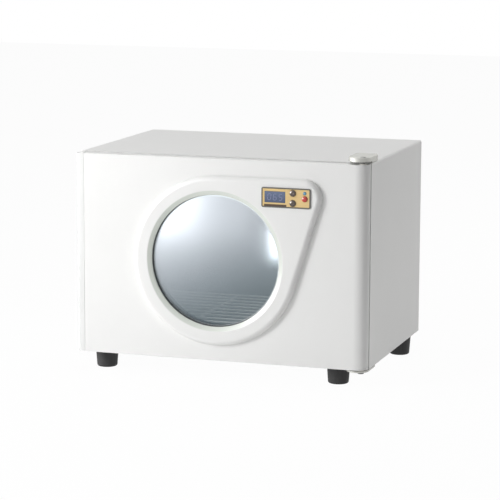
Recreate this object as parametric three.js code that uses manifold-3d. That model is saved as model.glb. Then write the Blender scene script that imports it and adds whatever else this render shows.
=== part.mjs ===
// Countertop blanket warming cabinet: an insulated steel cabinet on rubber feet, with a heated
// stainless chamber, a wire rack and a thick hinged door. The door carries a domed round window in
// a teardrop bezel, with a small control panel in the bezel's corner.
// Millimetres. +X is to the right of someone facing the door, +Y to the back, +Z up.
// The origin is on the floor under the middle of the whole object.

import * as THREE from 'three';
import { mergeVertices, toCreasedNormals } from 'three/addons/utils/BufferGeometryUtils.js';
import Module from 'manifold-3d';

// Clearances
const SEAT = 0.3; // between faces that are fitted together
const RUNNING = 0.15; // around a hinge pin in its bush
const BUTTON_PLAY = 0.3; // around a button in its hole

// Cabinet
const CABINET_WIDTH = 450;
const CABINET_HEIGHT = 303; // without the feet
const CABINET_DEPTH = 302; // without the door
const CABINET_EDGE_RADIUS = 3;
const SHEET = 1.2; // painted steel sheet
const WALL = 30; // from the outside to the chamber at the sides, top and bottom
const FRAME_THICKNESS = 5;
const REAR_RECESS = 4.5; // rear panel inside the back edge of the wrap
const REAR_FLANGE_WIDTH = 14;
const SERVICE_SPACE = 34; // between the rear insulation and the rear panel
const REAR_INSULATION = 20;
const WIRING_SPACE = 6; // above the top slab and below the bottom slab

// Chamber
const LINER_SHEET = 1;
const LINER_FLANGE = 10;
const CHAMBER_CORNER_RADIUS = 10;
const HEATER_WIDTH = 300;
const HEATER_DEPTH = 180;
const HEATER_THICKNESS = 2;
const HEATER_CORNER_RADIUS = 8;

// Rack
const RACK_HEIGHT = 19; // chamber floor to the middle of the side wires
const RACK_SIDE_WIRE = 2.2; // radius
const RACK_CROSS_WIRE = 1.6; // radius
const RACK_PITCH = 25;
const RACK_MARGIN = 9; // chamber mouth and back wall to the rack's ends
const RACK_MIDDLE_SPREAD = 110; // between the two wires under the middle
const WELD = 0.8; // how far crossing wires sink into each other
const RAIL_THICKNESS = 1.5;
const RAIL_SHELF = 9;
const RAIL_HEIGHT = 14;

// Sensors and power
const SENSOR_RADIUS = 3;
const SENSOR_TIP = 1.5; // rounding of the bulb's ends
const SENSOR_LENGTH = 60;
const SENSOR_X = 90;
const SENSOR_DROP = 45; // below the chamber's ceiling
const CUTOUT_RADIUS = 8;
const CUTOUT_HEIGHT = 11;
const CUTOUT_FLANGE_RADIUS = 11;
const CUTOUT_FLANGE = 1;
const CUTOUT_X = -80;
const CUTOUT_POCKET = 2; // air around the cut-out in the slab
const BOARD_WIDTH = 130;
const BOARD_HEIGHT = 90;
const BOARD_THICKNESS = 1.6;
const BOARD_X = 70;
const BOARD_RISE = 105; // cabinet's bottom to the middle of the power board
const POST_LENGTH = 6;
const POST_RADIUS = 3;
const POST_INSET = 7;
const TRANSFORMER = { width: 42, depth: 18, height: 36, x: -35, z: 14 };
const RELAY = { width: 20, depth: 15, height: 16, x: 12, z: 22 };
const TERMINALS = { width: 54, depth: 10, height: 12, x: 0, z: -32 };
const CAPACITOR = { width: 26, depth: 14, height: 17, x: 40, z: 4 };

// Mains inlet
const INLET_INSET = 75; // cabinet's left side to the middle of the inlet
const INLET_RISE = 48; // cabinet's bottom to the middle of the inlet
const INLET_FLANGE = { width: 31, height: 25, thickness: 2.5, radius: 3 };
const INLET_BODY = { width: 28, height: 20.5, depth: 19 };
const INLET_MOUTH = { width: 24, height: 16.5, depth: 17, radius: 2 };
const INLET_PIN = { width: 2, height: 4, length: 10, spread: 7, offset: 2 };

// Rear panel
const VENT_COUNT = 5;
const VENT_LENGTH = 60;
const VENT_HEIGHT = 4;
const VENT_END_RADIUS = 1.96;
const VENT_PITCH = 10;
const VENT_X = 70;
const VENT_DROP = 60; // cabinet's top to the highest vent
const REAR_SCREW_INSET = 32; // up and down from the cabinet's corners

// Screws: shank radius, head radius, head height, length under the head
const REAR_SCREW = { shank: 1.5, head: 3.2, cap: 2, length: 6 };
const FOOT_SCREW = { shank: 2, head: 6, cap: 3.5, length: 23 };
const HINGE_SCREW = { shank: 2, head: 3.8, cap: 2, length: 7 };
const SCREW_HOLE_PLAY = 0.3;

// Feet
const FOOT_HEIGHT = 28;
const FOOT_TOP_RADIUS = 17.2;
const FOOT_BOTTOM_RADIUS = 15.5;
const FOOT_EDGE_RADIUS = 3;
const FOOT_RECESS_RADIUS = 8;
const FOOT_RECESS_DEPTH = 10;
const FOOT_FRONT_SETBACK = 20; // cabinet's front to the middle of the front feet
const FOOT_REAR_SETBACK = 52; // cabinet's back to the middle of the rear feet
const FOOT_FRONT_LEFT_INSET = 32; // cabinet's side to the middle of the foot
const FOOT_FRONT_RIGHT_INSET = 52; // further in, past the lower hinge bracket
const FOOT_REAR_INSET = 17.5;

// Door
const DOOR_THICKNESS = 18;
const DOOR_GAP = 3; // between the door and the cabinet, filled by the gasket
const DOOR_END_GAP = 1; // door's ends inside the cabinet's top and bottom
const DOOR_WALL = 2.5;
const DOOR_ROUND_WIDTH = 20; // round of the hinge-side corner, across the front
const DOOR_ROUND_DEPTH = 15; // the same round, along the side
const DOOR_BACK_CHAMFER = 3;
const HINGE_POST = 24; // solid strip of the door panel around the hinge axis
const GASKET_WIDTH = 10;
const GASKET_MARGIN = 4; // chamber mouth to the gasket's inner edge

// Edge grip
const GRIP_WIDTH = 12;
const GRIP_BEVEL = 4;
const GROOVE_DEPTH = 8;
const GROOVE_WIDTH = 7.5;
const GROOVE_SETBACK = 6.5; // door's face to the groove

// Magnetic catch
const CATCH_WIDTH = 6;
const CATCH_HEIGHT = 40;
const CATCH_INSET = 3.5; // door's free edge to the catch
const CATCH_PLATE_THICKNESS = 1.2;
const CATCH_MAGNET_THICKNESS = 3.5;

// Hinge
const HINGE_INSET = 9.5; // cabinet's side to the hinge axis
const HINGE_PIN_RADIUS = 2.8;
const HINGE_PIN_REACH = 13; // into the door
const HINGE_PIN_HEAD_RADIUS = 4.5;
const HINGE_PIN_HEAD = 1.6;
const BUSH_WALL = 1.3;
const BUSH_LENGTH = 15;
const BUSH_FLANGE_RADIUS = 5.5;
const BUSH_FLANGE = 0.7;
const BRACKET_WIDTH = 33;
const BRACKET_LENGTH = 56;
const BRACKET_SETBACK = 1; // door's face to the bracket's round end
const BRACKET_CORNER_RADIUS = 3;
const BRACKET_BEVEL = 1;
const TOP_BRACKET_THICKNESS = 7.5;
const TOP_BRACKET_RISE = 2.3; // gap over the cabinet's top in front of the bracket's pad
const LOWER_BRACKET_THICKNESS = 2.5;
const BRACKET_SCREW_SPREAD = 18;
const BRACKET_SCREW_MARGIN = 9; // bracket's back edge to the nearer screw

// Bezel
const WINDOW_OFFSET = -4; // window's middle from the cabinet's middle
const BEZEL_RADIUS = 126.5;
const BEZEL_CORNER_RADIUS = 27;
const BEZEL_REACH = 135; // window's middle to the middle of the corner round, sideways
const BEZEL_PROUD = 10;
const BEZEL_ROUND_WIDTH = 8;
const BEZEL_ROUND_DEPTH = 9;
const BEZEL_WALL = 6;
const BEZEL_FACE = 2.8;
const COLLAR_WALL = 2.7;

// Window
const WINDOW_RADIUS = 98;
const WINDOW_BEVEL_WIDTH = 6.5;
const WINDOW_BEVEL_DEPTH = 3.5;
const WINDOW_LIP = 1.2; // edge of the bezel in front of the seal
const SEAL_WALL = 3;
const GLASS_THICKNESS = 3;
const GLASS_GRIP = 1.5; // how far a glass reaches into the seal
const DOME_RISE = 8;
const DOME_DEPTH = 8; // bezel's face to the front of the dome's rim
const PANE_GAP = 12.2; // between the dome's rim and the inner pane

// Control panel
const PANEL_WIDTH = 74.5;
const PANEL_HEIGHT = 29.5;
const PANEL_CORNER_RADIUS = 3;
const PANEL_SETBACK = 25; // middle of the bezel's corner round to the panel's middle
const PANEL_PROUD = 1.2;
const PANEL_LIP = 0.7; // how far the frame's rim laps over the bezel
const PANEL_WALL = 1;
const FACIA_THICKNESS = 1.2;
const FACIA_RECESS = 0.3;
const CONTROL_BOARD_THICKNESS = 1.6;
const CONTROL_BOARD_DEPTH = 7.8; // bezel's face to the board's front
const SWITCH_SIZE = 5;
const SWITCH_HEIGHT = 1.2;
const DISPLAY = { width: 31, height: 16, x: -16.7, z: 0.8 };
const LAMP = { radius: 2.4, dome: 1, x: 28.3, z: 7.8 };
const BUTTON_TRAVEL = 1.2;
const BUTTON_TAB = { reach: 1.4, height: 5, thickness: 1 };
const UP_BUTTON = { radius: 4.8, dome: 2.4, x: 10.3, z: 7.3 };
const DOWN_BUTTON = { radius: 4.8, dome: 2.4, x: 10.3, z: -7.3 };
const POWER_BUTTON = { radius: 4.2, dome: 2.4, x: 28.3, z: -0.4 };
const BUTTON_SKIRT = 0.6; // straight side in front of the facia

// Facets
const ROUND = 48; // around the window
const SMALL_ROUND = 20; // around pins, feet and buttons
const SCREW_ROUND = 8; // around screws and their holes
const WIRE_ROUND = 6; // around a wire
const CORNER_FACETS = 3; // half the facets of a rounded corner
const BROAD_FACETS = 6; // the same for the brackets' round ends and the door's corner
const DOME_STEPS = 5; // from the middle of the dome to its rim
const BEZEL_ARC = 38; // along the bezel's large round
const BEZEL_CORNER_ARC = 10; // along its corner round
const BEZEL_ROUND_STEPS = 4; // across its rounded edge
const EDGE_STEPS = 3; // across a small rounded edge
const OVERCUT = 1; // how far a cutting shape runs past the face that it opens

// Places that follow from the sizes, with the door's face at y = 0 and the floor at z = 0
const half = CABINET_WIDTH / 2;
const innerHalf = half - SHEET - SEAT;
const bodyFront = DOOR_THICKNESS + DOOR_GAP;
const bodyBack = bodyFront + CABINET_DEPTH;
const bodyBottom = FOOT_HEIGHT;
const bodyTop = bodyBottom + CABINET_HEIGHT;
const innerTop = bodyTop - SHEET - SEAT;
const panelBack = bodyBack - REAR_RECESS;
const panelFront = panelBack - SHEET;
const flangeBack = panelFront - SEAT;
const flangeFront = flangeBack - SHEET;
const frameBack = bodyFront + FRAME_THICKNESS;
const slabBack = panelFront - SERVICE_SPACE;
const slabBottom = bodyBottom + SHEET + WIRING_SPACE;
const chamber = {
  half: half - WALL,
  bottom: bodyBottom + WALL,
  top: bodyTop - WALL,
  front: frameBack + SEAT,
  back: slabBack - REAR_INSULATION - SEAT - LINER_SHEET,
};
const liner = {
  half: chamber.half + LINER_SHEET,
  bottom: chamber.bottom - LINER_SHEET,
  top: chamber.top + LINER_SHEET,
  back: chamber.back + LINER_SHEET,
};
const slabFront = chamber.front + LINER_SHEET + SEAT;
const middleZ = (bodyBottom + bodyTop) / 2;
const doorBottom = bodyBottom + DOOR_END_GAP;
const doorTop = bodyTop - DOOR_END_GAP;
const pivot = { x: half - HINGE_INSET, y: DOOR_THICKNESS / 2 };
const bushRadius = HINGE_PIN_RADIUS + RUNNING + BUSH_WALL;
const topBracketBottom = bodyTop + TOP_BRACKET_RISE;
const topBracketTop = topBracketBottom + TOP_BRACKET_THICKNESS;
const lowerBracketTop = bodyBottom - SEAT;
const lowerBracketBottom = lowerBracketTop - LOWER_BRACKET_THICKNESS;
const bracketBack = BRACKET_SETBACK + BRACKET_LENGTH;
const bracketX = half - BRACKET_WIDTH / 2;
const windowX = WINDOW_OFFSET;
const windowZ = middleZ;
const cornerX = windowX + BEZEL_REACH;
const cornerZ = windowZ + BEZEL_RADIUS - BEZEL_CORNER_RADIUS;
const bezelFront = -BEZEL_PROUD;
const lipRadius = WINDOW_RADIUS + SEAT;
const lipBack = bezelFront + WINDOW_BEVEL_DEPTH + WINDOW_LIP;
const domeRim = bezelFront + DOME_DEPTH;
const sealRadius = WINDOW_RADIUS + SEAL_WALL;
const throatRadius = sealRadius + SEAT;
const collarRadius = throatRadius + COLLAR_WALL;
const innerPanelFront = DOOR_THICKNESS - SHEET;
const glassRadius = WINDOW_RADIUS + GLASS_GRIP;
const paneFront = domeRim + GLASS_THICKNESS + PANE_GAP;
const panelX = cornerX - PANEL_SETBACK;
const panelZ = cornerZ;
const panelFace = bezelFront - SEAT - PANEL_PROUD;
const faciaFront = panelFace + FACIA_RECESS;
const faciaBack = faciaFront + FACIA_THICKNESS;
const controlBoardFront = bezelFront + CONTROL_BOARD_DEPTH;
const boardBack = panelFront - POST_LENGTH - SEAT;
const boardFront = boardBack - BOARD_THICKNESS;
const boardZ = bodyBottom + BOARD_RISE;
const inletX = -half + INLET_INSET;
const inletZ = bodyBottom + INLET_RISE;

const wasm = await Module();
wasm.setup();

// A closed geometry as a solid that can be joined and cut, without its triangles of no area.
function solid(geometry) {
  geometry.deleteAttribute('normal');
  geometry.deleteAttribute('uv');
  const merged = mergeVertices(geometry, 1e-4);
  const corners = merged.index.array;
  const triangles = [];
  for (let i = 0; i < corners.length; i += 3) {
    const [a, b, c] = corners.slice(i, i + 3);
    if (a !== b && b !== c && c !== a) triangles.push(a, b, c);
  }
  return new wasm.Manifold(
    new wasm.Mesh({
      numProp: 3,
      vertProperties: merged.attributes.position.array,
      triVerts: new Uint32Array(triangles),
    }),
  );
}

// A box between two corners.
function block(x0, x1, y0, y1, z0, z1) {
  const box = new THREE.BoxGeometry(x1 - x0, y1 - y0, z1 - z0);
  return solid(box.translate((x0 + x1) / 2, (y0 + y1) / 2, (z0 + z1) / 2));
}

// A box of a given size, centred on x and z, from one depth to another.
function slab(x, z, width, height, y0, y1) {
  return block(x - width / 2, x + width / 2, y0, y1, z - height / 2, z + height / 2);
}

// A shape drawn in x and z, carried from one depth to another.
function plate(shape, y0, y1, facets = CORNER_FACETS) {
  const options = { depth: y1 - y0, bevelEnabled: false, curveSegments: facets };
  const geometry = new THREE.ExtrudeGeometry(shape, options);
  return solid(geometry.rotateX(Math.PI / 2).translate(0, y1, 0));
}

// A shape drawn in x and y, carried from one height to another.
function prism(shape, z0, z1, facets = CORNER_FACETS) {
  const options = { depth: z1 - z0, bevelEnabled: false, curveSegments: facets };
  const geometry = new THREE.ExtrudeGeometry(shape, options);
  return solid(geometry.translate(0, 0, z0));
}

// A profile of [radius, depth] pairs turned about a line along y.
function turnedAlongY(profile, x, z, facets = SMALL_ROUND) {
  const points = profile.map(([radius, along]) => new THREE.Vector2(radius, along));
  return solid(new THREE.LatheGeometry(points, facets).translate(x, 0, z));
}

// A profile of [radius, height] pairs turned about an upright line.
function turnedUpright(profile, x, y, facets = SMALL_ROUND) {
  const points = profile.map(([radius, along]) => new THREE.Vector2(radius, along));
  const geometry = new THREE.LatheGeometry(points, facets);
  return solid(geometry.rotateX(Math.PI / 2).translate(x, y, 0));
}

// The profile of a plain round bar.
function bar(radius, from, to) {
  return [[0, from], [radius, from], [radius, to], [0, to]];
}

// A rectangle with round corners, between two corners.
function roundedRectangle(u0, u1, v0, v1, radius) {
  const shape = new THREE.Shape();
  shape.absarc(u1 - radius, v0 + radius, radius, -Math.PI / 2, 0);
  shape.absarc(u1 - radius, v1 - radius, radius, 0, Math.PI / 2);
  shape.absarc(u0 + radius, v1 - radius, radius, Math.PI / 2, Math.PI);
  shape.absarc(u0 + radius, v0 + radius, radius, Math.PI, 1.5 * Math.PI);
  return shape;
}

// The cabinet's front outline: square at the bottom, round at the two upper corners.
function arch(halfWidth, bottom, top, radius) {
  const shape = new THREE.Shape();
  shape.moveTo(-halfWidth, bottom);
  shape.lineTo(halfWidth, bottom);
  shape.absarc(halfWidth - radius, top - radius, radius, 0, Math.PI / 2);
  shape.absarc(-halfWidth + radius, top - radius, radius, Math.PI / 2, Math.PI);
  return shape;
}

// A screw along y or upright: its head starts at the given place and its shank runs on by sign.
function screwProfile(size, seat, sign) {
  const end = seat + sign * size.length;
  const crown = seat - sign * size.cap;
  const profile = [
    [0, crown],
    [size.head, crown],
    [size.head, seat],
    [size.shank, seat],
    [size.shank, end],
    [0, end],
  ];
  return sign > 0 ? profile : profile.reverse();
}

// Screw places that several pieces share
const rearScrewPlaces = [];
for (const x of [-1, 1]) {
  for (const z of [bodyBottom + REAR_SCREW_INSET, bodyTop - REAR_SCREW_INSET]) {
    rearScrewPlaces.push({ x: x * (half - SHEET - REAR_FLANGE_WIDTH / 2), z });
  }
}
const footPlaces = {
  front_left: { x: -half + FOOT_FRONT_LEFT_INSET, y: bodyFront + FOOT_FRONT_SETBACK },
  front_right: { x: half - FOOT_FRONT_RIGHT_INSET, y: bodyFront + FOOT_FRONT_SETBACK },
  rear_left: { x: -half + FOOT_REAR_INSET, y: bodyBack - FOOT_REAR_SETBACK },
  rear_right: { x: half - FOOT_REAR_INSET, y: bodyBack - FOOT_REAR_SETBACK },
};
const bracketScrewPlaces = {
  rear: { x: bracketX, y: bracketBack - BRACKET_SCREW_MARGIN },
  front: { x: bracketX, y: bracketBack - BRACKET_SCREW_MARGIN - BRACKET_SCREW_SPREAD },
};

// Painted steel wrap: top and both sides in one folded sheet, with a flange for the rear panel.
function outerWrap() {
  const outside = arch(half, bodyBottom, bodyTop, CABINET_EDGE_RADIUS);
  const innerRadius = CABINET_EDGE_RADIUS - SHEET;
  const inside = arch(half - SHEET, bodyBottom - OVERCUT, bodyTop - SHEET, innerRadius);
  const flangeHalf = half - SHEET - REAR_FLANGE_WIDTH;
  const flangeTop = bodyTop - SHEET - REAR_FLANGE_WIDTH;
  let wrap = plate(outside, bodyFront, bodyBack);
  const hollow = plate(inside, bodyFront - OVERCUT, bodyBack + OVERCUT);
  const flangeOutline = arch(half - SHEET / 2, bodyBottom, bodyTop - SHEET / 2, innerRadius);
  let flange = plate(flangeOutline, flangeFront, flangeBack);
  flange = flange.subtract(
    block(-flangeHalf, flangeHalf, flangeFront - OVERCUT, bodyBack, bodyBottom - OVERCUT, flangeTop),
  );
  wrap = wrap.subtract(hollow).add(flange);
  for (const { x, z } of rearScrewPlaces) {
    const hole = bar(REAR_SCREW.shank + SCREW_HOLE_PLAY, flangeFront - OVERCUT, flangeBack + OVERCUT);
    wrap = wrap.subtract(turnedAlongY(hole, x, z, SCREW_ROUND));
  }
  for (const { x, y } of Object.values(bracketScrewPlaces)) {
    const hole = bar(HINGE_SCREW.shank + SCREW_HOLE_PLAY, bodyTop - SHEET - OVERCUT, bodyTop + OVERCUT);
    wrap = wrap.subtract(turnedUpright(hole, x, y, SCREW_ROUND));
  }
  return wrap;
}

// Base pan between the wrap's sides, with a low flange along each side.
function basePan() {
  const front = frameBack + SEAT;
  const back = flangeFront - SEAT;
  const flangeTop = slabBottom - SEAT;
  let pan = block(-innerHalf, innerHalf, front, back, bodyBottom, bodyBottom + SHEET);
  for (const side of [-1, 1]) {
    const edge = side * innerHalf;
    const inner = side * (innerHalf - SHEET);
    pan = pan.add(block(Math.min(edge, inner), Math.max(edge, inner), front, back, bodyBottom, flangeTop));
  }
  const holes = [
    ...Object.values(footPlaces).map((place) => ({ ...place, radius: FOOT_SCREW.shank })),
    ...Object.values(bracketScrewPlaces).map((place) => ({ ...place, radius: HINGE_SCREW.shank })),
  ];
  for (const { x, y, radius } of holes) {
    const hole = bar(radius + SCREW_HOLE_PLAY, bodyBottom - OVERCUT, bodyBottom + SHEET + OVERCUT);
    pan = pan.subtract(turnedUpright(hole, x, y, SCREW_ROUND));
  }
  return pan;
}

// Rear panel with vents, the inlet's cut-out and the four posts of the power board.
function rearPanel() {
  const radius = CABINET_EDGE_RADIUS - SHEET;
  let panel = plate(arch(innerHalf, bodyBottom, innerTop, radius), panelFront, panelBack);
  for (const { x, z } of boardCorners()) {
    panel = panel.add(turnedAlongY(bar(POST_RADIUS, panelFront - POST_LENGTH, panelBack), x, z, SCREW_ROUND));
  }
  const cutWidth = INLET_BODY.width + 2 * SEAT;
  const cutHeight = INLET_BODY.height + 2 * SEAT;
  const [cutFront, cutBack] = [panelFront - OVERCUT, panelBack + OVERCUT];
  panel = panel.subtract(slab(inletX, inletZ, cutWidth, cutHeight, cutFront, cutBack));
  for (let i = 0; i < VENT_COUNT; i += 1) {
    const z = bodyTop - VENT_DROP - i * VENT_PITCH;
    const slot = roundedRectangle(
      VENT_X - VENT_LENGTH / 2,
      VENT_X + VENT_LENGTH / 2,
      z - VENT_HEIGHT / 2,
      z + VENT_HEIGHT / 2,
      VENT_END_RADIUS,
    );
    panel = panel.subtract(plate(slot, panelFront - OVERCUT, panelBack + OVERCUT));
  }
  for (const { x, z } of rearScrewPlaces) {
    const hole = bar(REAR_SCREW.shank + SCREW_HOLE_PLAY, panelFront - OVERCUT, panelBack + OVERCUT);
    panel = panel.subtract(turnedAlongY(hole, x, z, SCREW_ROUND));
  }
  return panel;
}

// Places of the posts that carry the power board.
function boardCorners() {
  const dx = BOARD_WIDTH / 2 - POST_INSET;
  const dz = BOARD_HEIGHT / 2 - POST_INSET;
  const places = [];
  for (const [sx, sz] of [[-1, -1], [1, -1], [1, 1], [-1, 1]]) {
    places.push({ x: BOARD_X + sx * dx, z: boardZ + sz * dz });
  }
  return places;
}

// The chamber's outline seen from the front, grown by a margin.
function chamberOutline(margin) {
  return roundedRectangle(
    -chamber.half - margin,
    chamber.half + margin,
    chamber.bottom - margin,
    chamber.top + margin,
    CHAMBER_CORNER_RADIUS + margin,
  );
}

// Front frame between the wrap and the chamber, with a pocket for the catch magnet.
function frontFrame() {
  const radius = CABINET_EDGE_RADIUS - SHEET;
  const face = plate(arch(innerHalf, bodyBottom, innerTop, radius), bodyFront, frameBack);
  const mouth = plate(chamberOutline(0), bodyFront - OVERCUT, frameBack + OVERCUT);
  const pocketBack = bodyFront + CATCH_MAGNET_THICKNESS + SEAT;
  return face.subtract(mouth).subtract(catchBlock(SEAT, bodyFront - OVERCUT, pocketBack));
}

// The space of the magnetic catch at the door's free edge, grown by a margin.
function catchBlock(margin, y0, y1) {
  const x = -half + CATCH_INSET + CATCH_WIDTH / 2;
  return slab(x, middleZ, CATCH_WIDTH + 2 * margin, CATCH_HEIGHT + 2 * margin, y0, y1);
}

// Stainless chamber: a tub open at the front with a flange behind the front frame.
function chamberLiner() {
  const tub = plate(chamberOutline(LINER_SHEET), chamber.front, liner.back);
  const flange = plate(chamberOutline(LINER_FLANGE), chamber.front, chamber.front + LINER_SHEET);
  const hollow = plate(chamberOutline(0), chamber.front - OVERCUT, chamber.back);
  return tub.add(flange).subtract(hollow);
}

// Insulation slabs around the chamber.
function topInsulation() {
  return block(-innerHalf, innerHalf, slabFront, slabBack, liner.top + SEAT, bodyTop - SHEET - WIRING_SPACE);
}

function bottomInsulation() {
  const top = liner.bottom - HEATER_THICKNESS - 2 * SEAT;
  return block(-innerHalf, innerHalf, slabFront, slabBack, slabBottom, top);
}

function sideInsulation(side) {
  const edges = [side * innerHalf, side * (liner.half + SEAT)].sort((a, b) => a - b);
  return block(edges[0], edges[1], slabFront, slabBack, liner.bottom, liner.top);
}

function rearInsulation() {
  const board = block(-liner.half, liner.half, liner.back + SEAT, slabBack, liner.bottom, liner.top);
  const pocket = bar(CUTOUT_FLANGE_RADIUS + CUTOUT_POCKET, liner.back - OVERCUT, slabBack + OVERCUT);
  return board.subtract(turnedAlongY(pocket, CUTOUT_X, middleZ));
}

// Flat heater under the chamber's floor.
function floorHeater() {
  const middleY = (chamber.front + chamber.back) / 2;
  const outline = roundedRectangle(
    -HEATER_WIDTH / 2,
    HEATER_WIDTH / 2,
    middleY - HEATER_DEPTH / 2,
    middleY + HEATER_DEPTH / 2,
    HEATER_CORNER_RADIUS,
  );
  const top = liner.bottom - SEAT;
  return prism(outline, top - HEATER_THICKNESS, top);
}

// Round sensor bulb lying along the chamber's back wall.
function temperatureSensor() {
  const end = SENSOR_LENGTH / 2;
  const profile = [
    [0, -end],
    [SENSOR_TIP, -end],
    [SENSOR_RADIUS, -end + SENSOR_TIP],
    [SENSOR_RADIUS, end - SENSOR_TIP],
    [SENSOR_TIP, end],
    [0, end],
  ].map(([radius, along]) => new THREE.Vector2(radius, along));
  const bulb = new THREE.LatheGeometry(profile, SCREW_ROUND).rotateZ(Math.PI / 2);
  const y = chamber.back - SEAT - SENSOR_RADIUS;
  return solid(bulb.translate(SENSOR_X, y, chamber.top - SENSOR_DROP));
}

// Thermal cut-out on the outside of the chamber's back wall.
function thermalCutout() {
  const seat = liner.back + SEAT;
  const profile = [
    [0, seat],
    [CUTOUT_FLANGE_RADIUS, seat],
    [CUTOUT_FLANGE_RADIUS, seat + CUTOUT_FLANGE],
    [CUTOUT_RADIUS, seat + CUTOUT_FLANGE],
    [CUTOUT_RADIUS, seat + CUTOUT_HEIGHT],
    [0, seat + CUTOUT_HEIGHT],
  ];
  return turnedAlongY(profile, CUTOUT_X, middleZ);
}

// Power board on the rear panel's posts, with its transformer, relay, terminals and capacitor.
function powerBoard() {
  let board = slab(BOARD_X, boardZ, BOARD_WIDTH, BOARD_HEIGHT, boardFront, boardBack);
  for (const { width, depth, height, x, z } of [TRANSFORMER, RELAY, TERMINALS, CAPACITOR]) {
    const middle = boardFront + BOARD_THICKNESS / 2;
    board = board.add(slab(BOARD_X + x, boardZ + z, width, height, boardFront - depth, middle));
  }
  return board;
}

// Snap-in mains inlet with a keyed mouth and three pins set back inside it.
function powerInlet() {
  const flangeFace = panelBack + SEAT;
  const mouth = flangeFace + INLET_FLANGE.thickness;
  const floor = mouth - INLET_MOUTH.depth;
  const outline = ({ width, height, radius }) =>
    roundedRectangle(
      inletX - width / 2,
      inletX + width / 2,
      inletZ - height / 2,
      inletZ + height / 2,
      radius,
    );
  const flange = plate(outline(INLET_FLANGE), flangeFace, mouth);
  const { width, height, depth } = INLET_BODY;
  const body = slab(inletX, inletZ, width, height, mouth - depth, mouth - INLET_FLANGE.thickness / 2);
  const hollow = plate(outline(INLET_MOUTH), floor, mouth + OVERCUT);
  let inlet = flange.add(body).subtract(hollow);
  for (const side of [-1, 0, 1]) {
    const x = inletX + side * INLET_PIN.spread;
    const z = inletZ + (side === 0 ? -INLET_PIN.offset : INLET_PIN.offset);
    const root = floor - SEAT;
    inlet = inlet.add(slab(x, z, INLET_PIN.width, INLET_PIN.height, root, floor + INLET_PIN.length));
  }
  return inlet;
}

// A straight round wire between two points along x or y.
function wire(axis, from, to, across, z, radius) {
  const geometry = new THREE.CylinderGeometry(radius, radius, to - from, WIRE_ROUND);
  const middle = (from + to) / 2;
  if (axis === 'x') return solid(geometry.rotateZ(Math.PI / 2).translate(middle, across, z));
  return solid(geometry.translate(across, middle, z));
}

// Welded wire rack: four wires from front to back and a row of cross wires over them.
const rackHalf = chamber.half - RAIL_THICKNESS - 2 * SEAT;
const rackZ = chamber.bottom + RACK_HEIGHT;

function wireRack() {
  const front = chamber.front + RACK_MARGIN;
  const back = chamber.back - RACK_MARGIN;
  const sideX = rackHalf - RACK_SIDE_WIRE;
  const crossZ = rackZ + RACK_SIDE_WIRE + RACK_CROSS_WIRE - WELD;
  const spaces = Math.round((back - front - 2 * RACK_CROSS_WIRE) / RACK_PITCH);
  const step = (back - front - 2 * RACK_CROSS_WIRE) / spaces;
  const lengthwise = [-sideX, -RACK_MIDDLE_SPREAD / 2, RACK_MIDDLE_SPREAD / 2, sideX];
  let rack = wire('y', front, back, lengthwise[0], rackZ, RACK_SIDE_WIRE);
  for (const x of lengthwise.slice(1)) {
    rack = rack.add(wire('y', front, back, x, rackZ, RACK_SIDE_WIRE));
  }
  for (let i = 0; i <= spaces; i += 1) {
    const y = front + RACK_CROSS_WIRE + i * step;
    rack = rack.add(wire('x', -rackHalf, rackHalf, y, crossZ, RACK_CROSS_WIRE));
  }
  return rack;
}

// Angle rail on a side wall of the chamber, under the rack's side wire.
function rackRail(side) {
  const front = chamber.front + RACK_MARGIN;
  const back = chamber.back - RACK_MARGIN;
  const wall = chamber.half - SEAT;
  const shelfTop = rackZ - RACK_SIDE_WIRE - SEAT;
  const span = (a, b) => [side * a, side * b].sort((p, q) => p - q);
  const [legLow, legHigh] = span(wall, wall - RAIL_THICKNESS);
  const [shelfLow, shelfHigh] = span(wall, wall - RAIL_THICKNESS - RAIL_SHELF);
  const shelfBottom = shelfTop - RAIL_THICKNESS;
  const leg = block(legLow, legHigh, front, back, shelfBottom, shelfBottom + RAIL_HEIGHT);
  return leg.add(block(shelfLow, shelfHigh, front, back, shelfBottom, shelfTop));
}

// Tapered rubber foot, hollow underneath for its screw.
function foot({ x, y }) {
  const top = bodyBottom - SEAT;
  const hole = FOOT_SCREW.shank + SCREW_HOLE_PLAY;
  const profile = [[FOOT_RECESS_RADIUS, 0]];
  const edgeX = FOOT_BOTTOM_RADIUS - FOOT_EDGE_RADIUS;
  for (let i = 0; i <= EDGE_STEPS; i += 1) {
    const turn = (i / EDGE_STEPS) * (Math.PI / 2);
    const rise = FOOT_EDGE_RADIUS * (1 - Math.cos(turn));
    profile.push([edgeX + FOOT_EDGE_RADIUS * Math.sin(turn), rise]);
  }
  profile.push(
    [FOOT_TOP_RADIUS, top],
    [hole, top],
    [hole, FOOT_RECESS_DEPTH],
    [FOOT_RECESS_RADIUS, FOOT_RECESS_DEPTH],
    [FOOT_RECESS_RADIUS, 0],
  );
  return turnedUpright(profile, x, y);
}

// Plan of a hinge bracket: a round end in front over the door, flush with the cabinet's side.
function bracketPlan(front) {
  const radius = BRACKET_WIDTH / 2;
  const corner = BRACKET_CORNER_RADIUS;
  const left = half - BRACKET_WIDTH;
  const shape = new THREE.Shape();
  if (front === BRACKET_SETBACK) {
    shape.absarc(bracketX, front + radius, radius, Math.PI, 2 * Math.PI);
  } else {
    shape.moveTo(left, front);
    shape.lineTo(half, front);
  }
  shape.absarc(half - corner, bracketBack - corner, corner, 0, Math.PI / 2);
  shape.absarc(left + corner, bracketBack - corner, corner, Math.PI / 2, Math.PI);
  return shape;
}

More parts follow.
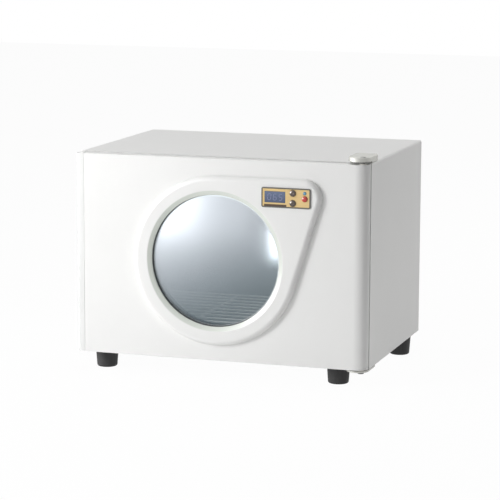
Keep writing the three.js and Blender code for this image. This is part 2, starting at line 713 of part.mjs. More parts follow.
// Cast top bracket: bevelled plate with a pad that stands on the cabinet's top.
function topHingeBracket() {
  const options = {
    depth: TOP_BRACKET_THICKNESS - 2 * BRACKET_BEVEL,
    bevelThickness: BRACKET_BEVEL,
    bevelSize: BRACKET_BEVEL,
    bevelOffset: -BRACKET_BEVEL,
    bevelSegments: 1,
    curveSegments: BROAD_FACETS,
  };
  const cast = new THREE.ExtrudeGeometry(bracketPlan(BRACKET_SETBACK), options);
  let bracket = solid(cast.translate(0, 0, topBracketBottom + BRACKET_BEVEL));
  const padTop = topBracketBottom + TOP_BRACKET_THICKNESS / 2;
  bracket = bracket.add(prism(bracketPlan(bodyFront + BRACKET_CORNER_RADIUS), bodyTop + SEAT, padTop));
  const shankHole = bar(HINGE_PIN_RADIUS + SEAT, topBracketBottom - OVERCUT, topBracketTop + OVERCUT);
  bracket = bracket.subtract(turnedUpright(shankHole, pivot.x, pivot.y));
  const headSeat = topBracketTop - HINGE_PIN_HEAD - SEAT;
  const headHole = bar(HINGE_PIN_HEAD_RADIUS + SEAT, headSeat, topBracketTop + OVERCUT);
  bracket = bracket.subtract(turnedUpright(headHole, pivot.x, pivot.y));
  for (const { x, y } of Object.values(bracketScrewPlaces)) {
    const end = bodyTop - SHEET - SEAT + HINGE_SCREW.length + SEAT;
    const hole = bar(HINGE_SCREW.shank + SCREW_HOLE_PLAY, bodyTop - OVERCUT, end);
    bracket = bracket.subtract(turnedUpright(hole, x, y, SCREW_ROUND));
  }
  return bracket;
}

// Pressed lower bracket under the door and the base pan.
function lowerHingeBracket() {
  let bracket = prism(bracketPlan(BRACKET_SETBACK), lowerBracketBottom, lowerBracketTop, BROAD_FACETS);
  const pinHole = bar(HINGE_PIN_RADIUS + SEAT, lowerBracketBottom - OVERCUT, lowerBracketTop + OVERCUT);
  bracket = bracket.subtract(turnedUpright(pinHole, pivot.x, pivot.y));
  for (const { x, y } of Object.values(bracketScrewPlaces)) {
    const hole = bar(
      HINGE_SCREW.shank + SCREW_HOLE_PLAY,
      lowerBracketBottom - OVERCUT,
      lowerBracketTop + OVERCUT,
    );
    bracket = bracket.subtract(turnedUpright(hole, x, y, SCREW_ROUND));
  }
  return bracket;
}

// Hinge pins: each has a flat head in or under its bracket and a shank in the door's bush.
function topHingePin() {
  const seat = topBracketTop - HINGE_PIN_HEAD;
  const end = doorTop - HINGE_PIN_REACH;
  const profile = [
    [0, end],
    [HINGE_PIN_RADIUS, end],
    [HINGE_PIN_RADIUS, seat],
    [HINGE_PIN_HEAD_RADIUS, seat],
    [HINGE_PIN_HEAD_RADIUS, topBracketTop],
    [0, topBracketTop],
  ];
  return turnedUpright(profile, pivot.x, pivot.y);
}

function lowerHingePin() {
  const seat = lowerBracketBottom - SEAT;
  const crown = seat - HINGE_PIN_HEAD;
  const end = doorBottom + HINGE_PIN_REACH;
  const profile = [
    [0, crown],
    [HINGE_PIN_HEAD_RADIUS, crown],
    [HINGE_PIN_HEAD_RADIUS, seat],
    [HINGE_PIN_RADIUS, seat],
    [HINGE_PIN_RADIUS, end],
    [0, end],
  ];
  return turnedUpright(profile, pivot.x, pivot.y);
}

// Flanged bush in the door's end; sign is 1 at the top and -1 at the bottom.
function hingeBush(doorEnd, sign) {
  const bore = HINGE_PIN_RADIUS + RUNNING;
  const flangeSeat = doorEnd + sign * SEAT;
  const face = flangeSeat + sign * BUSH_FLANGE;
  const end = doorEnd - sign * BUSH_LENGTH;
  const profile = [
    [bore, end],
    [bushRadius, end],
    [bushRadius, flangeSeat],
    [BUSH_FLANGE_RADIUS, flangeSeat],
    [BUSH_FLANGE_RADIUS, face],
    [bore, face],
    [bore, end],
  ];
  return turnedUpright(sign > 0 ? profile : profile.reverse(), pivot.x, pivot.y);
}

// Door skin: front, ends and hinge post in one moulding, open at the back.
const skinLeft = -half + GRIP_WIDTH + SEAT;
const cavity = {
  left: skinLeft + DOOR_WALL,
  right: half - HINGE_POST,
  bottom: doorBottom + DOOR_WALL,
  top: doorTop - DOOR_WALL,
};

function doorOuterPanel() {
  const plan = new THREE.Shape();
  plan.moveTo(skinLeft, DOOR_THICKNESS);
  plan.lineTo(skinLeft, 0);
  plan.absellipse(
    half - DOOR_ROUND_WIDTH,
    DOOR_ROUND_DEPTH,
    DOOR_ROUND_WIDTH,
    DOOR_ROUND_DEPTH,
    -Math.PI / 2,
    0,
  );
  plan.lineTo(half, Math.max(DOOR_THICKNESS - DOOR_BACK_CHAMFER, DOOR_ROUND_DEPTH + SEAT));
  plan.lineTo(half - DOOR_BACK_CHAMFER, DOOR_THICKNESS);
  let skin = prism(plan, doorBottom, doorTop, BROAD_FACETS);
  const { left, right, bottom, top } = cavity;
  skin = skin.subtract(block(left, right, DOOR_WALL, DOOR_THICKNESS + OVERCUT, bottom, top));
  const hole = bar(collarRadius + SEAT, -OVERCUT, DOOR_THICKNESS);
  skin = skin.subtract(turnedAlongY(hole, windowX, windowZ, ROUND));
  for (const [from, to] of [
    [doorTop - BUSH_LENGTH - SEAT, doorTop + OVERCUT],
    [doorBottom - OVERCUT, doorBottom + BUSH_LENGTH + SEAT],
  ]) {
    skin = skin.subtract(turnedUpright(bar(bushRadius + SEAT, from, to), pivot.x, pivot.y));
  }
  return skin;
}

// Steel inner panel that closes the door's back around the window.
function doorInnerPanel() {
  const { left, right, bottom, top } = cavity;
  const sheet = block(
    left + SEAT,
    right - SEAT,
    innerPanelFront,
    DOOR_THICKNESS,
    bottom + SEAT,
    top - SEAT,
  );
  const hole = bar(throatRadius, innerPanelFront - OVERCUT, DOOR_THICKNESS + OVERCUT);
  return sheet.subtract(turnedAlongY(hole, windowX, windowZ, ROUND));
}

// Foam slab that fills the door around the window's collar.
function doorInsulation() {
  const { left, right, bottom, top } = cavity;
  const front = DOOR_WALL + SEAT;
  const back = innerPanelFront - SEAT;
  const foam = block(left + SEAT, right - SEAT, front, back, bottom + SEAT, top - SEAT);
  const hole = bar(collarRadius + SEAT, front - OVERCUT, back + OVERCUT);
  return foam.subtract(turnedAlongY(hole, windowX, windowZ, ROUND));
}

// Rubber gasket around the chamber's mouth, on the back of the door.
function doorGasket() {
  const front = DOOR_THICKNESS + SEAT;
  const back = bodyFront - SEAT;
  const outside = plate(chamberOutline(GASKET_MARGIN + GASKET_WIDTH), front, back);
  return outside.subtract(plate(chamberOutline(GASKET_MARGIN), front - OVERCUT, back + OVERCUT));
}

// Grip along the door's free edge: bevelled in front, with a finger groove in its side.
function doorEdgeGrip() {
  const edge = -half;
  const inner = edge + GRIP_WIDTH;
  const grooveFloor = edge + GROOVE_DEPTH;
  const grooveBack = GROOVE_SETBACK + GROOVE_WIDTH;
  const plan = new THREE.Shape();
  plan.moveTo(edge, GRIP_BEVEL);
  plan.lineTo(edge + GRIP_BEVEL, 0);
  plan.lineTo(inner, 0);
  plan.lineTo(inner, DOOR_THICKNESS);
  plan.lineTo(edge, DOOR_THICKNESS);
  plan.lineTo(edge, grooveBack);
  plan.lineTo(grooveFloor, grooveBack);
  plan.lineTo(grooveFloor, GROOVE_SETBACK);
  plan.lineTo(edge, GROOVE_SETBACK);
  const pocketFront = DOOR_THICKNESS - CATCH_PLATE_THICKNESS - SEAT;
  const pocket = catchBlock(SEAT, pocketFront, DOOR_THICKNESS + OVERCUT);
  return prism(plan, doorBottom, doorTop).subtract(pocket);
}

// The bezel's outline: two circles, with straight sides that touch both and a level top.
function teardrop(inset) {
  const lean = 2 * Math.atan2(cornerZ - windowZ, cornerX - windowX) - Math.PI / 2;
  const round = new THREE.Path();
  round.absarc(windowX, windowZ, BEZEL_RADIUS - inset, Math.PI / 2, 2 * Math.PI + lean);
  const corner = new THREE.Path();
  corner.absarc(cornerX, cornerZ, BEZEL_CORNER_RADIUS - inset, lean, Math.PI / 2);
  return new THREE.Shape([...round.getPoints(BEZEL_ARC / 2), ...corner.getPoints(BEZEL_CORNER_ARC / 2)]);
}

// Moulded bezel: a rounded teardrop shell with the window's collar and the control panel's opening.
function teardropBezel() {
  const back = -SEAT;
  const collarEnd = innerPanelFront - SEAT;
  const options = {
    depth: BEZEL_PROUD,
    bevelThickness: BEZEL_ROUND_DEPTH,
    bevelSize: BEZEL_ROUND_WIDTH,
    bevelOffset: -BEZEL_ROUND_WIDTH,
    bevelSegments: BEZEL_ROUND_STEPS,
  };
  const moulding = new THREE.ExtrudeGeometry(teardrop(0), options);
  const moulded = moulding.rotateX(Math.PI / 2);
  const rearEnd = bezelFront + BEZEL_PROUD + BEZEL_ROUND_DEPTH;
  let bezel = solid(moulded.translate(0, rearEnd, 0));
  const reach = 2 * (BEZEL_RADIUS + BEZEL_REACH);
  bezel = bezel.subtract(slab(windowX, windowZ, reach, reach, back, reach));
  const collarBar = bar(collarRadius, bezelFront + BEZEL_FACE / 2, collarEnd);
  const collar = turnedAlongY(collarBar, windowX, windowZ, ROUND);
  const hollow = plate(teardrop(BEZEL_WALL), bezelFront + BEZEL_FACE, OVERCUT);
  const slope = WINDOW_BEVEL_WIDTH / WINDOW_BEVEL_DEPTH;
  const throat = [
    [0, bezelFront - OVERCUT],
    [lipRadius + WINDOW_BEVEL_WIDTH + slope * OVERCUT, bezelFront - OVERCUT],
    [lipRadius, bezelFront + WINDOW_BEVEL_DEPTH],
    [lipRadius, lipBack],
    [throatRadius, lipBack],
    [throatRadius, collarEnd + OVERCUT],
    [0, collarEnd + OVERCUT],
  ];
  const opening = panelOutline(PANEL_LIP - SEAT);
  return bezel
    .subtract(hollow)
    .add(collar)
    .subtract(turnedAlongY(throat, windowX, windowZ, ROUND))
    .subtract(plate(opening, bezelFront - OVERCUT, OVERCUT));
}

// The control panel's outline, drawn in by an inset.
function panelOutline(inset) {
  return roundedRectangle(
    panelX - PANEL_WIDTH / 2 + inset,
    panelX + PANEL_WIDTH / 2 - inset,
    panelZ - PANEL_HEIGHT / 2 + inset,
    panelZ + PANEL_HEIGHT / 2 - inset,
    PANEL_CORNER_RADIUS - inset,
  );
}

// Rubber seal that lines the window's throat and holds both panes in grooves.
function windowSeal() {
  const front = lipBack + SEAT;
  const grooveRadius = glassRadius + SEAT;
  const profile = [[WINDOW_RADIUS, front], [sealRadius, front], [sealRadius, DOOR_THICKNESS]];
  profile.push([WINDOW_RADIUS, DOOR_THICKNESS]);
  for (const paneStart of [paneFront, domeRim]) {
    const near = paneStart - SEAT;
    const far = paneStart + GLASS_THICKNESS + SEAT;
    profile.push([WINDOW_RADIUS, far], [grooveRadius, far], [grooveRadius, near], [WINDOW_RADIUS, near]);
  }
  profile.push([WINDOW_RADIUS, front]);
  return turnedAlongY(profile, windowX, windowZ, ROUND);
}

// Domed outer glass: a shallow spherical cap of even thickness with a flat rim.
function windowDome() {
  const capRadius = WINDOW_RADIUS - SEAT;
  const sphere = (capRadius ** 2 + DOME_RISE ** 2) / (2 * DOME_RISE);
  const reach = Math.asin(capRadius / sphere);
  const arc = [];
  for (let i = 0; i <= DOME_STEPS; i += 1) {
    const angle = (i / DOME_STEPS) * reach;
    const rise = sphere * (Math.cos(angle) - Math.cos(reach));
    arc.push([sphere * Math.sin(angle), domeRim - rise]);
  }
  const inner = arc.map(([radius, depth]) => [radius, depth + GLASS_THICKNESS]).reverse();
  const rim = [[glassRadius, domeRim], [glassRadius, domeRim + GLASS_THICKNESS]];
  return turnedAlongY([...arc, ...rim, ...inner], windowX, windowZ, ROUND);
}

// Flat inner glass.
function windowInnerPane() {
  return turnedAlongY(bar(glassRadius, paneFront, paneFront + GLASS_THICKNESS), windowX, windowZ, ROUND);
}

// Frame of the control panel: a rim on the bezel's face and a short tube behind it.
function controlFrame() {
  const rim = plate(panelOutline(0), panelFace, bezelFront - SEAT);
  const tube = plate(panelOutline(PANEL_LIP), bezelFront - SEAT - PANEL_PROUD / 2, -SEAT);
  const inside = panelOutline(PANEL_LIP + PANEL_WALL);
  return rim.add(tube).subtract(plate(inside, panelFace - OVERCUT, OVERCUT));
}

// Gold facia plate with openings for the display, the lamp and the buttons.
function controlFacia() {
  const face = panelOutline(PANEL_LIP + PANEL_WALL + SEAT);
  let facia = plate(face, faciaFront, faciaBack);
  const width = DISPLAY.width + 2 * SEAT;
  const height = DISPLAY.height + 2 * SEAT;
  const [from, to] = [faciaFront - OVERCUT, faciaBack + OVERCUT];
  facia = facia.subtract(slab(panelX + DISPLAY.x, panelZ + DISPLAY.z, width, height, from, to));
  for (const { radius, x, z } of [LAMP, UP_BUTTON, DOWN_BUTTON, POWER_BUTTON]) {
    const hole = bar(radius + BUTTON_PLAY, from, to);
    facia = facia.subtract(turnedAlongY(hole, panelX + x, panelZ + z));
  }
  return facia;
}

// Display block: its lens is flush with the facia and its back stands on the control board.
function displayLens() {
  const { width, height, x, z } = DISPLAY;
  return slab(panelX + x, panelZ + z, width, height, faciaFront, controlBoardFront - SEAT);
}

// Control board with a push switch behind each button.
function controlBoard() {
  const inset = PANEL_LIP + PANEL_WALL + SEAT;
  const back = controlBoardFront + CONTROL_BOARD_THICKNESS;
  let board = plate(panelOutline(inset), controlBoardFront, back);
  for (const { x, z } of [UP_BUTTON, DOWN_BUTTON, POWER_BUTTON]) {
    const switchFront = controlBoardFront - SWITCH_HEIGHT;
    board = board.add(slab(panelX + x, panelZ + z, SWITCH_SIZE, SWITCH_SIZE, switchFront, back));
  }
  return board;
}

// Indicator lamp with a domed front.
function indicatorLamp() {
  const { radius, dome, x, z } = LAMP;
  const profile = [...domedFront(radius, dome, faciaFront), [radius, controlBoardFront - SEAT]];
  profile.push([0, controlBoardFront - SEAT]);
  return turnedAlongY(profile, panelX + x, panelZ + z);
}

// The front of a turned piece: a quarter ellipse from the axis to the given depth.
function domedFront(radius, dome, depth) {
  const points = [];
  for (let i = 0; i <= EDGE_STEPS; i += 1) {
    const angle = (i / EDGE_STEPS) * (Math.PI / 2);
    points.push([radius * Math.sin(angle), depth - dome * Math.cos(angle)]);
  }
  return points;
}

// Domed button that slides through the facia, with two tabs behind the facia to keep it in.
function button({ radius, dome, x, z }) {
  const back = controlBoardFront - SWITCH_HEIGHT - SEAT - BUTTON_TRAVEL;
  const profile = [...domedFront(radius, dome, faciaFront - BUTTON_SKIRT), [radius, back], [0, back]];
  const tabFront = faciaBack + SEAT;
  const tabWidth = 2 * (radius + BUTTON_TAB.reach);
  const tabBack = tabFront + BUTTON_TAB.thickness;
  const tabs = slab(panelX + x, panelZ + z, tabWidth, BUTTON_TAB.height, tabFront, tabBack);
  return turnedAlongY(profile, panelX + x, panelZ + z).add(tabs);
}

// Finishes
const FINISHES = {
  whiteEnamel: { color: 0xe9e9e6, roughness: 0.4, metalness: 0 },
  whiteMoulding: { color: 0xf4f4f2, roughness: 0.35, metalness: 0 },
  greyMoulding: { color: 0xdcdddb, roughness: 0.4, metalness: 0 },
  stainless: { color: 0xb9bcbd, roughness: 0.3, metalness: 1 },
  satinNickel: { color: 0xc0bfb8, roughness: 0.4, metalness: 1 },
  zincSteel: { color: 0xa9abac, roughness: 0.45, metalness: 1 },
  blackRubber: { color: 0x2c2c2d, roughness: 0.8, metalness: 0 },
  foam: { color: 0xd8cfae, roughness: 0.95, metalness: 0 },
  heaterMat: { color: 0x8a3f24, roughness: 0.7, metalness: 0 },
  darkPlastic: { color: 0x3b3a38, roughness: 0.5, metalness: 0 },
  blackPlastic: { color: 0x1b1b1c, roughness: 0.45, metalness: 0 },
  bushPlastic: { color: 0xe4e2da, roughness: 0.5, metalness: 0 },
  circuitBoard: { color: 0x2f6a3c, roughness: 0.6, metalness: 0 },
  domeGlass: { color: 0x8fa0b2, roughness: 0.05, metalness: 0.2, transparent: true, opacity: 0.55 },
  clearGlass: { color: 0xcfd9dc, roughness: 0.05, metalness: 0, transparent: true, opacity: 0.3 },
  gold: { color: 0xd8b268, roughness: 0.35, metalness: 0.6 },
  display: { color: 0x58628a, roughness: 0.2, metalness: 0 },
  darkChrome: { color: 0x3a332e, roughness: 0.12, metalness: 1 },
  redPlastic: { color: 0xb81d14, roughness: 0.2, metalness: 0 },
  bluePlastic: { color: 0x3c86b4, roughness: 0.2, metalness: 0 },
  magnet: { color: 0x57585a, roughness: 0.6, metalness: 0.6 },
};
const CREASE = Math.PI / 7;

// A named mesh of a solid with a finish of its own.
function piece(name, body, finish) {
  const { vertProperties, triVerts } = body.getMesh();
  const geometry = new THREE.BufferGeometry();
  geometry.setAttribute('position', new THREE.BufferAttribute(vertProperties, 3));
  geometry.setIndex(new THREE.BufferAttribute(triVerts, 1));
  const material = new THREE.MeshStandardMaterial(FINISHES[finish]);
  const mesh = new THREE.Mesh(toCreasedNormals(geometry, CREASE), material);
  mesh.name = name;
  return mesh;
}

// The standing cabinet
const cabinet = new THREE.Group();
cabinet.add(
  piece('outer_wrap', outerWrap(), 'whiteEnamel'),
  piece('base_pan', basePan(), 'zincSteel'),
  piece('rear_panel', rearPanel(), 'whiteEnamel'),
  piece('front_frame', frontFrame(), 'whiteMoulding'),
  piece('chamber_liner', chamberLiner(), 'stainless'),
  piece('insulation_top', topInsulation(), 'foam'),
  piece('insulation_bottom', bottomInsulation(), 'foam'),
  piece('insulation_left', sideInsulation(-1), 'foam'),
  piece('insulation_right', sideInsulation(1), 'foam'),
  piece('insulation_rear', rearInsulation(), 'foam'),
  piece('floor_heater', floorHeater(), 'heaterMat'),
  piece('temperature_sensor', temperatureSensor(), 'stainless'),
  piece('thermal_cutout', thermalCutout(), 'blackPlastic'),
  piece('power_board', powerBoard(), 'circuitBoard'),
  piece('power_inlet', powerInlet(), 'blackPlastic'),
  piece('wire_rack', wireRack(), 'stainless'),
  piece('rack_rail_left', rackRail(-1), 'stainless'),
  piece('rack_rail_right', rackRail(1), 'stainless'),
  piece('catch_magnet', catchBlock(0, bodyFront, bodyFront + CATCH_MAGNET_THICKNESS), 'magnet'),
  piece('top_hinge_bracket', topHingeBracket(), 'satinNickel'),
  piece('top_hinge_pin', topHingePin(), 'zincSteel'),
  piece('lower_hinge_bracket', lowerHingeBracket(), 'satinNickel'),
  piece('lower_hinge_pin', lowerHingePin(), 'zincSteel'),
);
for (const [corner, place] of Object.entries(footPlaces)) {
  const headSeat = FOOT_RECESS_DEPTH - SEAT;
  const screw = turnedUpright(screwProfile(FOOT_SCREW, headSeat, 1), place.x, place.y, SCREW_ROUND);
  cabinet.add(piece(`foot_${corner}`, foot(place), 'blackRubber'));
  cabinet.add(piece(`foot_screw_${corner}`, screw, 'zincSteel'));
}
for (const [end, { x, y }] of Object.entries(bracketScrewPlaces)) {
  const upper = screwProfile(HINGE_SCREW, bodyTop - SHEET - SEAT, 1);
  const lower = screwProfile(HINGE_SCREW, lowerBracketBottom - SEAT, 1);
  cabinet.add(piece(`top_hinge_screw_${end}`, turnedUpright(upper, x, y, SCREW_ROUND), 'zincSteel'));
  cabinet.add(piece(`lower_hinge_screw_${end}`, turnedUpright(lower, x, y, SCREW_ROUND), 'zincSteel'));
}
rearScrewPlaces.forEach(({ x, z }, index) => {
  const screw = turnedAlongY(screwProfile(REAR_SCREW, panelBack + SEAT, -1), x, z, SCREW_ROUND);
  cabinet.add(piece(`rear_screw_${index + 1}`, screw, 'zincSteel'));
});

// The door, hung in a group whose origin is the hinge axis
const door = new THREE.Group();
door.add(
  piece('door_outer_panel', doorOuterPanel(), 'whiteMoulding'),
  piece('door_inner_panel', doorInnerPanel(), 'whiteEnamel'),
  piece('door_insulation', doorInsulation(), 'foam'),
  piece('door_gasket', doorGasket(), 'greyMoulding'),
  piece('door_edge_grip', doorEdgeGrip(), 'greyMoulding'),
  piece('teardrop_bezel', teardropBezel(), 'whiteMoulding'),
  piece('window_seal', windowSeal(), 'blackRubber'),
  piece('window_dome', windowDome(), 'domeGlass'),
  piece('window_inner_pane', windowInnerPane(), 'clearGlass'),
  piece('control_frame', controlFrame(), 'darkPlastic'),
  piece('control_facia', controlFacia(), 'gold'),
  piece('display_lens', displayLens(), 'display'),
  piece('control_board', controlBoard(), 'circuitBoard'),
  piece('indicator_lamp', indicatorLamp(), 'bluePlastic'),
  piece('top_hinge_bush', hingeBush(doorTop, 1), 'bushPlastic'),
  piece('lower_hinge_bush', hingeBush(doorBottom, -1), 'bushPlastic'),
  piece('catch_plate', catchBlock(0, DOOR_THICKNESS - CATCH_PLATE_THICKNESS, DOOR_THICKNESS), 'zincSteel'),
  piece('up_button', button(UP_BUTTON), 'darkChrome'),
  piece('down_button', button(DOWN_BUTTON), 'darkChrome'),
  piece('power_button', button(POWER_BUTTON), 'redPlastic'),
);
door.position.set(-pivot.x, -pivot.y, 0);
const hinge = new THREE.Group();
hinge.add(door);
hinge.position.set(pivot.x, pivot.y, 0);

// The whole object, moved so that the origin is on the floor under its middle
const assembly = new THREE.Group();
assembly.add(cabinet, hinge);
const bounds = new THREE.Box3().setFromObject(assembly);
const middle = bounds.getCenter(new THREE.Vector3());
assembly.position.set(-middle.x, -middle.y, -bounds.min.z);
const warmer = new THREE.Group();
warmer.add(assembly);

export default warmer;
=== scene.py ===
import math

import bmesh
import bpy
import numpy as np
from mathutils import Matrix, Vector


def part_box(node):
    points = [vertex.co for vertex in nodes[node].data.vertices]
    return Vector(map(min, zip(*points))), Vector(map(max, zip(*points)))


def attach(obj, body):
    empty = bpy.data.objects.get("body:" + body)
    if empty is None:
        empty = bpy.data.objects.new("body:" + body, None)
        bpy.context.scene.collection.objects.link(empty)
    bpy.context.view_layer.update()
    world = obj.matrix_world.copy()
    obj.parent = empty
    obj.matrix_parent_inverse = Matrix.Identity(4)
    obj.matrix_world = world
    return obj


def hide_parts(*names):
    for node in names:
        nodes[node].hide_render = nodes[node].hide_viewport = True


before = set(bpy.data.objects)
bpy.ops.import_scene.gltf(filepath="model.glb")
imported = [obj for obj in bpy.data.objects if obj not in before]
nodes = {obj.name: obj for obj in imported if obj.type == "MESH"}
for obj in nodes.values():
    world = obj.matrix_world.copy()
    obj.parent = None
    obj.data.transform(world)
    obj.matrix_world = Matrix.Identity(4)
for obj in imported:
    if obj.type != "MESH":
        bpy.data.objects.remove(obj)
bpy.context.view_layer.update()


# Outer wrap and rear panel: folded steel sheet with a white baked powder coat.
# The wrap is one sheet over the top and both sides, the rear panel is screwed to its flange.
class Shade:
    """One socket of a material. Sums, products and powers of sockets and numbers add Math nodes."""

    def __init__(self, tree, socket):
        self.tree, self.socket = tree, socket

    def node(self, kind, settings, sockets, out=0):
        """Adds a node of a kind, sets its settings, then fills its sockets with values or links."""
        made = self.tree.nodes.new(kind)
        for key, value in settings.items():
            setattr(made, key, value)
        for key, value in sockets.items():
            if isinstance(value, Shade):
                self.tree.links.new(value.socket, made.inputs[key])
            else:
                made.inputs[key].default_value = value
        return Shade(self.tree, made.outputs[out])

    def math(self, operation, *values):
        """A Math node with an operation on some values."""
        return self.node("ShaderNodeMath", {"operation": operation}, dict(enumerate(values)))

    def __add__(self, other):
        return self.math("ADD", self, other)

    def __sub__(self, other):
        return self.math("SUBTRACT", self, other)

    def __rsub__(self, other):
        return self.math("SUBTRACT", other, self)

    def __mul__(self, other):
        return self.math("MULTIPLY", self, other)

    __radd__ = __add__
    __rmul__ = __mul__

    def between(self, low, high):
        """0 below low, 1 above high, and a smooth ramp from one to the other."""
        ramp = {"Value": self, "From Min": low, "From Max": high}
        return self.node("ShaderNodeMapRange", {"interpolation_type": "SMOOTHSTEP"}, ramp)

    def band(self, low, high, edge):
        """1 from low to high and 0 outside, with a smooth ramp as wide as the edge inside each end."""
        return self.between(low, low + edge) - self.between(high - edge, high)

    def mix(self, first, second):
        """The first colour where this is 0 and the second where it is 1."""
        return self.node("ShaderNodeMix", {"data_type": "RGBA"}, {0: self, 6: first, 7: second}, 2)

    def noise(self, scale, detail=3.0, stretch=(1, 1, 1)):
        """Cloudy noise around 0.5 on this place, drawn out along an axis by a small stretch factor."""
        place = self.node("ShaderNodeMapping", {}, {"Vector": self, "Scale": stretch})
        return self.node("ShaderNodeTexNoise", {}, {"Vector": place, "Scale": scale, "Detail": detail})

    def axis(self, number):
        """One part of a vector: 0 is across, 1 is depth and 2 is height."""
        return self.node("ShaderNodeSeparateXYZ", {}, {0: self}, number)

    def bump(self, height_mm):
        """This height field as a bump of so many millimetres."""
        return self.node("ShaderNodeBump", {}, {"Height": self, "Distance": height_mm * 0.001})


def new_finish(name):
    """A node material: gives the material, its shader node and the piece's own coordinates."""
    material = bpy.data.materials.new(name)
    material.use_nodes = True
    tree = material.node_tree
    place = Shade(tree, tree.nodes.new("ShaderNodeTexCoord").outputs["Object"])
    return material, tree.nodes["Principled BSDF"], place


def fill(shader, sockets):
    """Links what varies to the shader's sockets and sets what is the same all over."""
    for key, value in sockets.items():
        if isinstance(value, Shade):
            value.tree.links.new(value.socket, shader.inputs[key])
        else:
            shader.inputs[key].default_value = value


def face_tool(name):
    """An empty mesh tool with one way in and one way out."""
    tool = bpy.data.node_groups.new(name, "GeometryNodeTree")
    tool.interface.new_socket("Geometry", in_out="INPUT", socket_type="NodeSocketGeometry")
    tool.interface.new_socket("Geometry", in_out="OUTPUT", socket_type="NodeSocketGeometry")
    return tool, tool.nodes.new("NodeGroupInput"), tool.nodes.new("NodeGroupOutput")


joined_faces, way_in, way_out = face_tool("joined_faces")
plain_normals = joined_faces.nodes.new("GeometryNodeRemoveAttribute")
plain_normals.inputs["Name"].default_value = "custom_normal"
joined = joined_faces.nodes.new("GeometryNodeMergeByDistance")
joined.inputs["Distance"].default_value = 0.00001
joined_faces.links.new(way_in.outputs[0], plain_normals.inputs[0])
joined_faces.links.new(plain_normals.outputs[0], joined.inputs[0])
joined_faces.links.new(joined.outputs[0], way_out.inputs[0])

smooth_faces, way_in, way_out = face_tool("smooth_faces")
all_smooth = smooth_faces.nodes.new("GeometryNodeSetShadeSmooth")
sharp_edges = smooth_faces.nodes.new("GeometryNodeSetShadeSmooth")
sharp_edges.domain = "EDGE"
sharp_edges.inputs["Shade Smooth"].default_value = False
edge_angle = smooth_faces.nodes.new("GeometryNodeInputMeshEdgeAngle")
steep = smooth_faces.nodes.new("FunctionNodeCompare")
steep.inputs[1].default_value = math.radians(32)
smooth_faces.links.new(edge_angle.outputs[0], steep.inputs[0])
smooth_faces.links.new(steep.outputs[0], sharp_edges.inputs["Selection"])
smooth_faces.links.new(way_in.outputs[0], all_smooth.inputs[0])
smooth_faces.links.new(all_smooth.outputs[0], sharp_edges.inputs[0])
smooth_faces.links.new(sharp_edges.outputs[0], way_out.inputs[0])


def dress(names, material, edge_mm=0.0):
    """Gives solids of the frame a finish, and rounds their sharp edges by so many millimetres."""
    for name in names:
        solid = nodes[name]
        solid.data.materials.clear()
        solid.data.materials.append(material)
        solid.modifiers.new("joined_faces", "NODES").node_group = joined_faces
        if edge_mm:
            edge = solid.modifiers.new("soft_edge", "BEVEL")
            edge.width = edge_mm * 0.001
            edge.segments = 3
            edge.limit_method = "ANGLE"
            edge.angle_limit = math.radians(40)
            edge.use_clamp_overlap = True
        solid.modifiers.new("smooth_faces", "NODES").node_group = smooth_faces
        solid.modifiers.new("flat_normals", "WEIGHTED_NORMAL").keep_sharp = True


powder_coat, shader, place = new_finish("white_powder_coat")
clouds = place.noise(9)
peel = place.noise(900, 2)
fill(shader, {
    "Base Color": clouds.mix((0.80, 0.80, 0.785, 1), (0.845, 0.845, 0.835, 1)),
    "Roughness": 0.34 + clouds * 0.12,
    "Normal": peel.bump(0.03),
})
dress(["outer_wrap", "rear_panel"], powder_coat, 0.4)


# Base pan: zinc-plated steel tray between the wrap's sides.
# The feet and the lower hinge bracket are screwed to it from below.
zinc_plate, shader, place = new_finish("zinc_plate")
spangle = place.node("ShaderNodeTexVoronoi", {}, {"Vector": place, "Scale": 160.0})
fill(shader, {
    "Base Color": spangle.mix((0.50, 0.51, 0.52, 1), (0.64, 0.65, 0.65, 1)),
    "Roughness": 0.36 + spangle * 0.16,
    "Metallic": 1.0,
})
dress(["base_pan"], zinc_plate, 0.3)


# Insulation: slabs of pale foam board around the chamber and in the door.
# They are cut to size and held between the sheets.
foam_board, shader, place = new_finish("foam_board")
cells = place.node("ShaderNodeTexVoronoi", {}, {"Vector": place, "Scale": 420.0})
fill(shader, {
    "Base Color": cells.mix((0.60, 0.53, 0.36, 1), (0.74, 0.67, 0.49, 1)),
    "Roughness": 0.95,
    "Normal": cells.bump(0.4),
})
sides = ["top", "bottom", "left", "right", "rear"]
dress(["insulation_" + side for side in sides] + ["door_insulation"], foam_board, 0.6)


# Chamber liner, rack rails and sensor bulb: brushed stainless steel.
# The liner is a welded tub, and the rails are angles spot-welded to its side walls.
brushed_steel, shader, place = new_finish("brushed_stainless")
lines = place.noise(700, 4, (0.02, 1, 1))
smudge = place.noise(14)
fill(shader, {
    "Base Color": lines.mix((0.52, 0.54, 0.55, 1), (0.68, 0.70, 0.71, 1)),
    "Roughness": 0.22 + lines * 0.12 + smudge * 0.10,
    "Metallic": 1.0,
    "Normal": lines.bump(0.02),
})
steel_pieces = ["chamber_liner", "rack_rail_left", "rack_rail_right", "temperature_sensor"]
dress(steel_pieces, brushed_steel, 0.3)


# Wire rack: pale, satin stainless wires, four from front to back and ten across them.
# The wires cross with a weld, and the rack lies on the two rails.
MM = 0.001
DOOR_FACE = np.array([0, -0.1544, 0])
RACK_FRONT, RACK_BACK = 35.3, 253.0
LONG_RADIUS, LONG_HEIGHT = 2.2, 77.0
CROSS_RADIUS, CROSS_HEIGHT, CROSS_LENGTH = 1.6, 80.0, 385.8


def placed(x, y, z):
    """Millimetres, with depth measured from the door's face, as metres of the frame."""
    return np.stack(np.broadcast_arrays(x, y, z), axis=-1) * MM + DOOR_FACE


